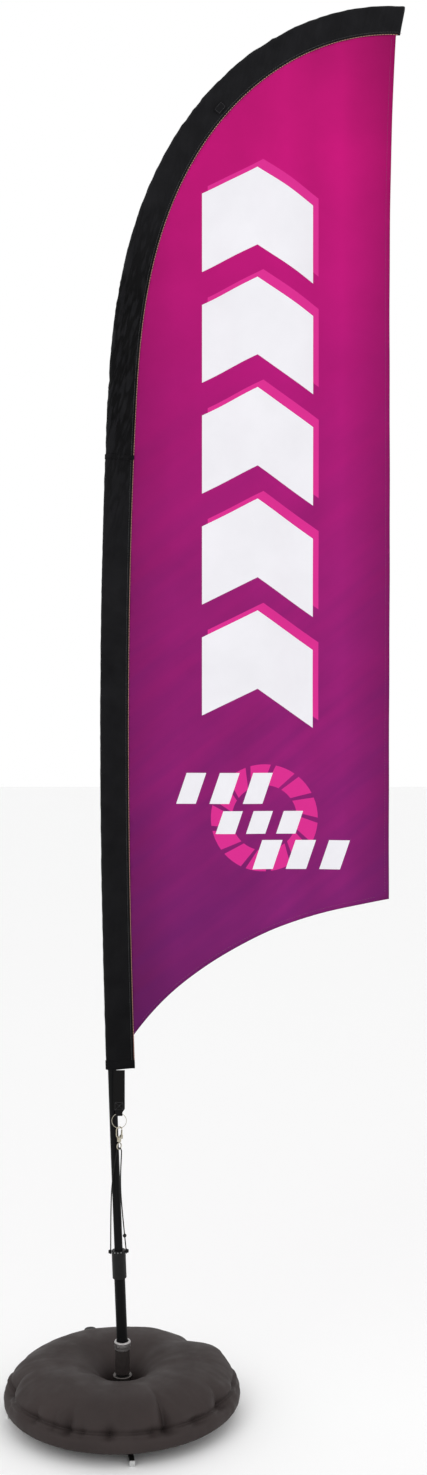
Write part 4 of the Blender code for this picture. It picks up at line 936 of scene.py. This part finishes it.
def sleeve_skin(places, settings, close_end=False):
    """Rings of points up the creased sleeve; a closed end is slanted and pressed flat."""
    rings = []
    for place in places:
        beyond = place - POLE_LENGTH
        flatten = 1.0
        if close_end and beyond > END_PRESSED[0]:
            flatten = max(END_FLAT, 1.0 - (1.0 - END_FLAT) * (beyond - END_PRESSED[0]) / END_PRESSED[1])
        section = sleeve_section(min(place, POLE_LENGTH), flatten)
        ring = []
        for inward, across in section:
            off = crease(place, inward, across, settings.crease)
            size = math.hypot(inward, across) or 1.0
            round_pole = max(0.0, 1.0 - max(0.0, inward) / 0.02)
            slant = END_SLANT * max(0.0, 1.0 + beyond / END_REACH) * max(0.0, inward) / SLEEVE_WIDTH
            ring.append(pole_at(place - slant, inward + off * inward / size * round_pole,
                                across + off * math.copysign(1.0, across) * flatten))
        rings.append(ring)
    return rings


class BOWFLAG_OT_sleeve(Operator):
    """Sew the two lengths of sleeve round the pole, with their seams and stitching"""
    bl_idname = "bow_flag.sleeve"
    bl_label = "Sleeve"

    def execute(self, context):
        settings = context.scene.bow_flag_cloth
        end = POLE_LENGTH + END_SPARE
        tip = evenly(POLE_LENGTH, end, 0.9 * MM)[1:]
        cut = (("lower", evenly(SLEEVE_START, SLEEVE_SEAM, 8 * MM), False),
               ("upper", evenly(SLEEVE_SEAM, POLE_LENGTH, 8 * MM) + tip, True))
        for name, places, closed_end in cut:
            rings = sleeve_skin(places, settings, closed_end)
            count = len(rings[0])
            points = [p for ring in rings for p in ring]
            faces = skin_faces(len(rings), count, True)
            if closed_end:
                last = (len(rings) - 1) * count
                faces.append(tuple(range(last, last + count)))
            obj = piece(f"sewn_sleeve_{name}", points, faces, [sleeve_knit()], "pole", "sleeve_cloth")
            modifier(obj, 'SOLIDIFY', thickness=SLEEVE_CLOTH, offset=-1.0)
            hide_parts(f"{name}_sleeve")
        self.sew_edge(settings)
        self.bands(settings)
        return {'FINISHED'}

    def sew_edge(self, settings):
        """The pale thread where the panel joins the sleeve, and a black one along the lip."""
        for name, step, made, pitch in (("seam_thread", 0.9 * MM, salmon_thread(), settings.stitch),
                                        ("sleeve_stitches", 6.5 * MM, black_thread(), settings.stitch * 0.8)):
            parts = []
            for side in (-1.0, 1.0):
                route = []
                for place in evenly(SLEEVE_START + 4 * MM, POLE_LENGTH - END_SLANT, 6 * MM):
                    inward = SLEEVE_WIDTH - sleeve_radius(place) - step
                    route.append(pole_at(place, inward, side * (LIP_HALF + 0.25 * MM)))
                parts.append(stitches(route, pitch, 0.55 * MM if name == "seam_thread" else 0.4 * MM, 0.8))
            piece(name, *gather(parts), [made], "pole", "sleeve_cloth")

    def bands(self, settings):
        """Raised bands: the joint between the two sleeves, and the hem at the open end."""
        parts = []
        for start, stop, lift in SLEEVE_BANDS:
            rings = []
            for share, out in BAND_PROFILE:
                place = start + (stop - start) * share
                ring = []
                for inward, across in sleeve_section(place):
                    size = math.hypot(inward, across) or 1.0
                    grow = (settings.crease * 0.5 + lift) * out + 0.1 * MM
                    ring.append(pole_at(place, inward + grow * min(0.0, inward) / size,
                                        across + math.copysign(grow, across)))
                rings.append(ring)
            count = len(rings[0])
            parts.append(([p for ring in rings for p in ring], skin_faces(len(rings), count, True)))
        obj = piece("sleeve_bands", *gather(parts), [sleeve_knit()], "pole", "sleeve_cloth")
        modifier(obj, 'SOLIDIFY', thickness=0.5 * MM, offset=-1.0)
        return obj


class BOWFLAG_OT_tab(Operator):
    """Patch stitched on the front of the upper sleeve"""
    bl_idname = "bow_flag.tab"
    bl_label = "Tab"

    def execute(self, context):
        low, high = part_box("stitched_tab")
        settings = context.scene.bow_flag_cloth
        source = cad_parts["stitched_tab"].data
        centre = (low + high) / 2
        along, side, out = tab_axes(source)
        half_long, half_wide, half_thick = (max(abs((v.co - centre).dot(axis)) for v in source.vertices)
                                            for axis in (along, side, out))
        parts = []
        steps = 12
        seam_at = 0.8
        for lift in (-half_thick, half_thick):
            for i in range(steps + 1):
                for j in range(steps + 1):
                    u = 2 * i / steps - 1
                    v = 2 * j / steps - 1
                    rim = max(abs(u), abs(v)) ** 6
                    puff = 0.35 * MM * noise.noise(Vector((u * 2.3, v * 2.1, 3.0)))
                    height = lift * (1.0 - 0.55 * rim) + (puff if lift > 0 else 0.0)
                    parts.append(centre + along * (u * half_long) + side * (v * half_wide) + out * height)
        row = steps + 1
        top = skin_faces(row, row, False, row * row)
        bottom = flip(skin_faces(row, row, False))
        rim = [(i, 0) for i in range(steps)] + [(steps, j) for j in range(steps)]
        rim += [(i, steps) for i in range(steps, 0, -1)] + [(0, j) for j in range(steps, 0, -1)]
        walls = []
        for (i, j), (k, m) in zip(rim, rim[1:] + rim[:1]):
            a, b = i * row + j, k * row + m
            walls.append((a, b, b + row * row, a + row * row))
        tab = piece("sewn_tab", parts, top + bottom + walls, [sleeve_knit()], "pole", "sleeve_cloth")
        corners = [(-seam_at, -seam_at), (seam_at, -seam_at), (seam_at, seam_at), (-seam_at, seam_at),
                   (-seam_at, -seam_at)]
        route = [centre + along * (u * half_long) + side * (v * half_wide) + out * (half_thick * 0.9)
                 for u, v in corners]
        piece("tab_stitches", *stitches(route, settings.stitch * 0.5, 0.35 * MM), [black_thread()], "pole",
              "sleeve_cloth")
        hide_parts("stitched_tab")
        return {'FINISHED'}


def tab_axes(mesh):
    """The tab's long, short and outward directions."""
    points = np.array([v.co for v in mesh.vertices])
    centred = points - points.mean(0)
    _, _, axes = np.linalg.svd(centred, full_matrices=False)
    along, side, out = (Vector(a) for a in axes)
    if out.y > 0:
        out = -out
    if side.cross(out).dot(along) < 0:
        along = -along
    return along, side, out


# ---------------------------------------------------------------- strap, ring and elastic

class BOWFLAG_OT_strap(Operator):
    """Webbing strap from the sleeve's hem to the ring"""
    bl_idname = "bow_flag.strap"
    bl_label = "Strap"

    def execute(self, context):
        low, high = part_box("webbing_strap")
        ring_low, ring_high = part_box("split_ring")
        middle = (low.x + high.x) / 2
        half = (high.x - low.x) / 2
        wire_top = ring_high.z
        ring_y = (ring_low.y + ring_high.y) / 2
        wire = (ring_high.y - ring_low.y) / 2
        thick = TAPE_HALF
        front = ring_y - wire - thick - TAPE_ROOM
        back = ring_y + wire + thick + TAPE_ROOM
        turn_low = wire_top - 2 * wire - thick - LOOP_DROP
        # Out of the sleeve, down in front of the ring's wire, round it and up behind the front layer
        route = [Vector((0, front + 2.9 * MM, high.z + 1.5 * MM)),
                 Vector((0, front + 1.5 * MM, high.z - 30 * MM)),
                 Vector((0, front, wire_top + 14 * MM)), Vector((0, front, wire_top - 1.0 * MM))]
        for angle in evenly(math.pi, math.tau, math.radians(22)):
            route.append(Vector((0, ring_y + (back - front) / 2 * math.cos(angle),
                                 turn_low + LOOP_LIFT + LOOP_DEPTH * math.sin(angle))))
        route += [Vector((0, back, wire_top - 1.0 * MM)),
                  Vector((0, front + 2.4 * thick, wire_top + 9 * MM)),
                  Vector((0, front + 2.4 * thick, wire_top + 26 * MM))]
        line = smoothed(route, 2.0 * MM)
        across = 14
        points = []
        narrow_at = wire_top + 3 * MM
        for at in line:
            narrow = 1.0 - TAPE_GATHER * min(1.0, max(0.0, (narrow_at + 6 * MM - at.z) / (7 * MM)))
            for i in range(across + 1):
                share = 2 * i / across - 1
                points.append(Vector((middle + share * half * narrow, at.y + 0.25 * MM * share ** 4, at.z)))
        faces = skin_faces(len(line), across + 1, False)
        strap = piece("webbing", points, faces, [webbing()], "pole", "webbing")
        modifier(strap, 'SOLIDIFY', thickness=2 * thick, offset=0.0)
        modifier(strap, 'BEVEL', width=0.3 * MM, segments=2, limit_method='ANGLE')
        box_low, box_high = wire_top + 8 * MM, wire_top + 24 * MM
        inset = half * 0.72
        corners = [(-inset, box_low), (inset, box_low), (inset, box_high), (-inset, box_high),
                   (-inset, box_low), (inset, box_high), (inset, box_low), (-inset, box_high)]
        face = front - thick - TAPE_ROOM
        path = [Vector((middle + x, face + 0.2 * MM, z)) for x, z in corners]
        piece("strap_stitches", *stitches(path, 3.2 * MM, 0.4 * MM, 0.75), [black_thread()], "pole",
              "webbing")
        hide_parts("webbing_strap")
        return {'FINISHED'}


class BOWFLAG_OT_ring(Operator):
    """Split ring: two turns of wire"""
    bl_idname = "bow_flag.ring"
    bl_label = "Split ring"

    def execute(self, context):
        low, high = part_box("split_ring")
        centre = (low + high) / 2
        wire = (high.y - low.y) / 4
        radius = (high.x - low.x) / 2 - 2 * wire
        route = []
        turns = 2.0
        for angle in evenly(0.0, math.tau * turns, math.radians(6)):
            step = 1.0 / (1.0 + math.exp(-(angle - math.tau * turns / 2) * 3.0)) * 2 - 1
            bearing = angle + math.radians(70)
            route.append(centre + Vector((radius * math.cos(bearing), wire * 1.02 * step,
                                          radius * math.sin(bearing))))
        ring = piece("ring", *tube(route, wire * 1.15, 10), [nickel_plate()], "pole", "nickel")
        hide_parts("split_ring")
        return {'FINISHED'}


# ---------------------------------------------------------------- water bag

PINCHES = (                         # bearing, depth share, half width and reach up the bag, in degrees
    (193.0, 1.0, 5.0, 20.0), (225.0, 0.8, 4.0, 13.0), (237.0, 0.8, 3.5, 15.0), (245.5, 1.2, 2.8, 20.0),
    (254.0, 0.6, 2.6, 11.0), (267.0, 1.0, 3.4, 15.0), (279.0, 0.3, 3.0, 8.0), (288.0, 0.9, 4.2, 9.0),
    (296.0, 1.6, 2.7, 34.0), (313.0, 0.8, 7.0, 8.0), (334.0, 1.2, 5.0, 20.0), (355.0, 0.4, 5.0, 12.0),
    (20.0, 0.4, 5.0, 14.0), (48.0, 1.1, 5.0, 26.0), (74.0, 0.6, 4.0, 14.0), (98.0, 0.7, 4.0, 16.0),
    (117.0, 0.5, 4.0, 12.0), (140.0, 0.6, 5.0, 14.0), (164.0, 0.6, 4.0, 14.0))
LIP_REACH = 5.0                     # how far the pinches reach below the weld, in degrees
LIP_BULGE = 0.12                    # how far the lower sheet stands out under the weld, as a share of a pinch
RIM_STEP = 1.2                      # degrees between points round the section near the weld
CROWN_STEP = 4.5
RIM_BAND = (-24.0, 36.0)            # where the fine steps run, in degrees from the weld
FOLD_SHARPNESS = 1.2
WELD_GROOVE = 0.24                  # the crease above the weld, as a share of a full pinch
WELD_RIDGE = 0.10
PUFF = 0.11                         # how far the vinyl stands out beside a pinch, as a share of its depth
SWELLS = (                          # bearing, height, half width, place round the section and its half width
    (22.0, 11.0 * MM, 14.0, 40.0, 26.0), (47.0, -9.0 * MM, 15.0, 66.0, 40.0),
    (172.0, 4.0 * MM, 26.0, 60.0, 40.0))


def angle_between(one, other):
    return (one - other + 180.0) % 360.0 - 180.0


def pinched(bearing, rise):
    """How deep the folds run in at a place, as a share of a full pinch; rise is measured from the weld."""
    depth = 0.0
    for at, share, wide, reach in PINCHES:
        away = abs(angle_between(bearing, at))
        along = rise / (reach if rise > 0 else LIP_REACH)
        half = wide * max(0.45, 1.25 - 0.55 * max(0.0, along))
        depth += share * math.exp(-(away / half) ** FOLD_SHARPNESS - along ** 2)
        depth -= PUFF * share * math.exp(-((away - 2.6 * half) / (1.3 * half)) ** 2 - (along / 1.1) ** 2)
    return depth


def welded(rise):
    """The groove above the weld, the thin raised weld itself and the lower sheet's bulge under it."""
    groove = WELD_GROOVE * math.exp(-((rise - 3.0) / (4.0 if rise > 3.0 else 1.6)) ** 2)
    ridge = WELD_RIDGE * math.exp(-((rise + 0.8) / 1.5) ** 2)
    return groove - ridge - LIP_BULGE * math.exp(-((rise + 12.0) / 9.0) ** 2)


def bag_point(bearing, angle, settings):
    """A point on the bag: bearing round the spindle, angle round the filled section from its outer side."""
    turn = math.degrees(bearing)
    degrees = math.degrees(angle)
    rise = angle_between(degrees, SEAM_ANGLE)
    place = Vector((math.cos(bearing), math.sin(bearing), 0.0))
    out, up = math.cos(angle), math.sin(angle)
    swell = 0.0
    if up > 0.0:
        full = up if out > 0.0 else up ** HOLE_FULLNESS
        height = BAG_CROWN * full
        for at, tall, wide, middle, spread in SWELLS:
            away = angle_between(turn, at) / wide
            swell += tall * math.exp(-away ** 2 - ((degrees - middle) / spread) ** 2)
        slow = noise.noise(place * 1.9 + Vector((0.0, 0.0, 5.0)))
        swell += up * settings.lumps * (slow + 0.7 * noise.noise(Vector((place.x * 3.2, place.y * 3.2,
                                                                         degrees / 48.0))))
    else:
        height = BAG_DEPTH * math.copysign(abs(up) ** (1.0 if out > 0.0 else 0.5), up)
    inward = 0.0
    if out > -0.3:
        radial = noise.noise(Vector((place.x * 14.0, place.y * 14.0, degrees / 70.0)))
        inward = settings.pinch * (pinched(turn, rise) + welded(rise)
                                   + 0.09 * radial * math.exp(-abs(rise) / 25.0))
    slope = Vector((out / BAG_HALF, up / (BAG_CROWN if up > 0.0 else BAG_DEPTH))).normalized()
    radius = min(BAG_MIDDLE + BAG_HALF * out - inward * max(0.0, slope.x), BAG_OUTER + 5 * MM)
    z = max(BAG_SEAM_HEIGHT + height + swell - inward * max(0.0, slope.y) * 0.8, BAG_LOW.z)
    return Vector((radius * place.x, radius * place.y, z))


class BOWFLAG_OT_bag(Operator):
    """The filled vinyl bag with its welded rim and folds"""
    bl_idname = "bow_flag.bag"
    bl_label = "Water bag"

    def execute(self, context):
        settings = context.scene.bow_flag_bag
        rises = evenly(*RIM_BAND, RIM_STEP)[:-1] + evenly(RIM_BAND[1], 360.0 + RIM_BAND[0], CROWN_STEP)[:-1]
        rings = len(rises)
        points = []
        for i in range(settings.steps):
            bearing = math.tau * i / settings.steps
            points += [bag_point(bearing, math.radians(SEAM_ANGLE + rise), settings) for rise in rises]
        faces = skin_faces(settings.steps, rings, True)
        last = (settings.steps - 1) * rings
        for j in range(rings):
            k = (j + 1) % rings
            faces.append((last + j, last + k, k, j))
        bag = piece("filled_bag", points, flip(faces), [bag_vinyl()], "bag", "bag_vinyl")
        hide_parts("water_bag")
        return {'FINISHED'}


# ---------------------------------------------------------------- carried-over pieces

BY_NODE = {
    powder_coat: ("lower_leg_bar", "upper_leg_bar"),
    plug_plastic: ("front_leg_plug", "rear_leg_plug", "left_leg_plug", "right_leg_plug", "screw_cover"),
    dull_steel: ("spindle",),
    satin_housing: ("rotor_housing",),
    turned_steel: ("pivot_screw", "retaining_clip", "bearing_spacer", "lower_ferrule", "middle_ferrule",
                   "lower_bearing_inner_race", "upper_bearing_inner_race", "lower_bearing_outer_race",
                   "upper_bearing_outer_race", "lower_bearing_ball_cage", "upper_bearing_ball_cage"),
    chrome_plate: ("cup_rim",),
    nickel_plate: ("hook_body", "gate_pin", "hook_gate", "swivel_eye"),
    moulded_black: ("pivot_washer", "thrust_washer", "filler_neck", "filler_cap", "pole_foot_plug",
                    "tension_collar", "left_knob", "right_knob", "tip_cap", "cord_bead"),
    rubber: ("cap_gasket",),
    fibreglass: ("base_tube", "lower_pole", "middle_pole", "tip_pole"),
    elastic_braid: ("elastic_cord",),
}
SHARP_FROM = math.radians(35)
SOFTENED = {                        # width of the rounding on each piece's edges
    0.9 * MM: ("lower_leg_bar", "upper_leg_bar"),
    0.6 * MM: ("front_leg_plug", "rear_leg_plug", "left_leg_plug", "right_leg_plug", "tension_collar"),
    0.35 * MM: ("cup_rim", "rotor_housing", "spindle", "filler_cap", "filler_neck", "left_knob", "right_knob",
                "lower_ferrule", "middle_ferrule", "hook_gate"),
}


class BOWFLAG_OT_finishes(Operator):
    """Give every piece of the frame that shows its finish and rounded edges"""
    bl_idname = "bow_flag.finishes"
    bl_label = "Frame finishes"

    def execute(self, context):
        for make, names in BY_NODE.items():
            for name in names:
                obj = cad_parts[name]
                obj.data.materials.clear()
                obj.data.materials.append(make())
                obj.data.shade_smooth()
                obj.data.set_sharp_from_angle(angle=SHARP_FROM)
        for width, names in SOFTENED.items():
            for name in names:
                modifier(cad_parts[name], 'BEVEL', width=width, segments=2, limit_method='ANGLE',
                         angle_limit=SHARP_FROM)
        return {'FINISHED'}


class BOWFLAG_OT_collar(Operator):
    """Small pale studs round the front of the tension collar"""
    bl_idname = "bow_flag.collar"
    bl_label = "Collar studs"

    def execute(self, context):
        low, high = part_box("tension_collar")
        radius = (high.x - low.x) / 2
        place = float(np.interp(high.z - STUD_DROP, LINE[2], LINE[0]))
        face = radius - STUD_INSET
        parts = []
        for bearing in STUD_BEARINGS:
            out = Vector((math.cos(math.radians(bearing)), math.sin(math.radians(bearing))))
            axis = pole_at(place)
            root = pole_at(place, out.x * (face - STUD_ROOT), out.y * (face - STUD_ROOT))
            tip = pole_at(place, out.x * (face + STUD_PROUD), out.y * (face + STUD_PROUD))
            if (tip - axis).length < face:
                raise RuntimeError("a stud would sink into the collar")
            parts.append(tube([root, root + (tip - root) * 0.7, tip],
                              lambda t: STUD_RADIUS * (1.0 - 0.35 * t * t), 10))
        piece("collar_studs", *gather(parts), [plug_plastic()], "pole", "grey_plastic")
        return {'FINISHED'}


# ---------------------------------------------------------------- stage

class BOWFLAG_OT_stage(Operator):
    """Camera, pale floor and soft light"""
    bl_idname = "bow_flag.stage"
    bl_label = "Stage"

    def execute(self, context):
        scene = context.scene
        settings = scene.bow_flag_stage
        data = bpy.data.cameras.new("camera")
        data.lens = settings.lens
        data.sensor_width = 36.0
        camera = bpy.data.objects.new("camera", data)
        camera.location = (settings.aside, -settings.distance, settings.height)
        camera.rotation_euler = (math.pi / 2, 0.0, 0.0)
        scene.collection.objects.link(camera)
        scene.camera = camera
        scene.view_settings.view_transform = 'Standard'

        world = bpy.data.worlds.new("studio")
        world.use_nodes = True
        background = world.node_tree.nodes["Background"]
        background.inputs["Color"].default_value = (1.0, 1.0, 1.0, 1.0)
        background.inputs["Strength"].default_value = settings.ambient
        scene.world = world

        half = 40.0
        mesh = bpy.data.meshes.new("floor")
        mesh.from_pydata([(-half, -half, 0), (half, -half, 0), (half, half, 0), (-half, half, 0)], [],
                         [(0, 1, 2, 3)])
        made, tree, shader = finish("pale_floor", tuple(settings.floor), 0.8)
        worn(tree, shader, cloud(tree, 0.5), 0.75, 0.9)
        mesh.materials.append(made)
        floor = bpy.data.objects.new("floor", mesh)
        scene.collection.objects.link(floor)

        for name, place, size, power in (("key", (-2.6, -3.4, 3.6), 2.4, settings.key),
                                         ("fill", (3.2, -3.0, 2.2), 2.6, settings.key * 0.45)):
            light = bpy.data.lights.new(name, 'AREA')
            light.energy = power
            light.size = size
            lamp = bpy.data.objects.new(name, light)
            lamp.location = place
            aim = Vector((0.3, 0.0, 1.4)) - Vector(place)
            lamp.rotation_euler = aim.to_track_quat('-Z', 'Y').to_euler()
            scene.collection.objects.link(lamp)
        return {'FINISHED'}


class BOWFLAG_PT_build(Panel):
    """Lists the flag's builders in the sidebar"""
    bl_idname = "BOWFLAG_PT_build"
    bl_label = "Bow flag"
    bl_space_type = 'VIEW_3D'
    bl_region_type = 'UI'
    bl_category = "Bow flag"

    def draw(self, context):
        column = self.layout.column()
        for operator in OPERATORS:
            column.operator(operator.bl_idname)
        for name in SETTINGS:
            settings = getattr(context.scene, name)
            for key in settings.__annotations__:
                column.prop(settings, key)


OPERATORS = (BOWFLAG_OT_stage, BOWFLAG_OT_finishes, BOWFLAG_OT_sleeve, BOWFLAG_OT_panel, BOWFLAG_OT_tab,
             BOWFLAG_OT_strap, BOWFLAG_OT_ring, BOWFLAG_OT_collar, BOWFLAG_OT_bag)
CLASSES = (BowFlagCloth, BowFlagBag, BowFlagStage, *OPERATORS, BOWFLAG_PT_build)
SETTINGS = {"bow_flag_cloth": BowFlagCloth, "bow_flag_bag": BowFlagBag, "bow_flag_stage": BowFlagStage}


def register():
    for made in CLASSES:
        bpy.utils.register_class(made)
    for name, group in SETTINGS.items():
        setattr(bpy.types.Scene, name, PointerProperty(type=group))


def unregister():
    for name in SETTINGS:
        delattr(bpy.types.Scene, name)
    for made in reversed(CLASSES):
        bpy.utils.unregister_class(made)


def main():
    register()
    bpy.ops.bow_flag.stage()
    bpy.ops.bow_flag.finishes()
    bpy.ops.bow_flag.sleeve()
    bpy.ops.bow_flag.panel()
    bpy.ops.bow_flag.tab()
    bpy.ops.bow_flag.strap()
    bpy.ops.bow_flag.ring()
    bpy.ops.bow_flag.collar()
    bpy.ops.bow_flag.bag()


if __name__ == "__main__":
    main()
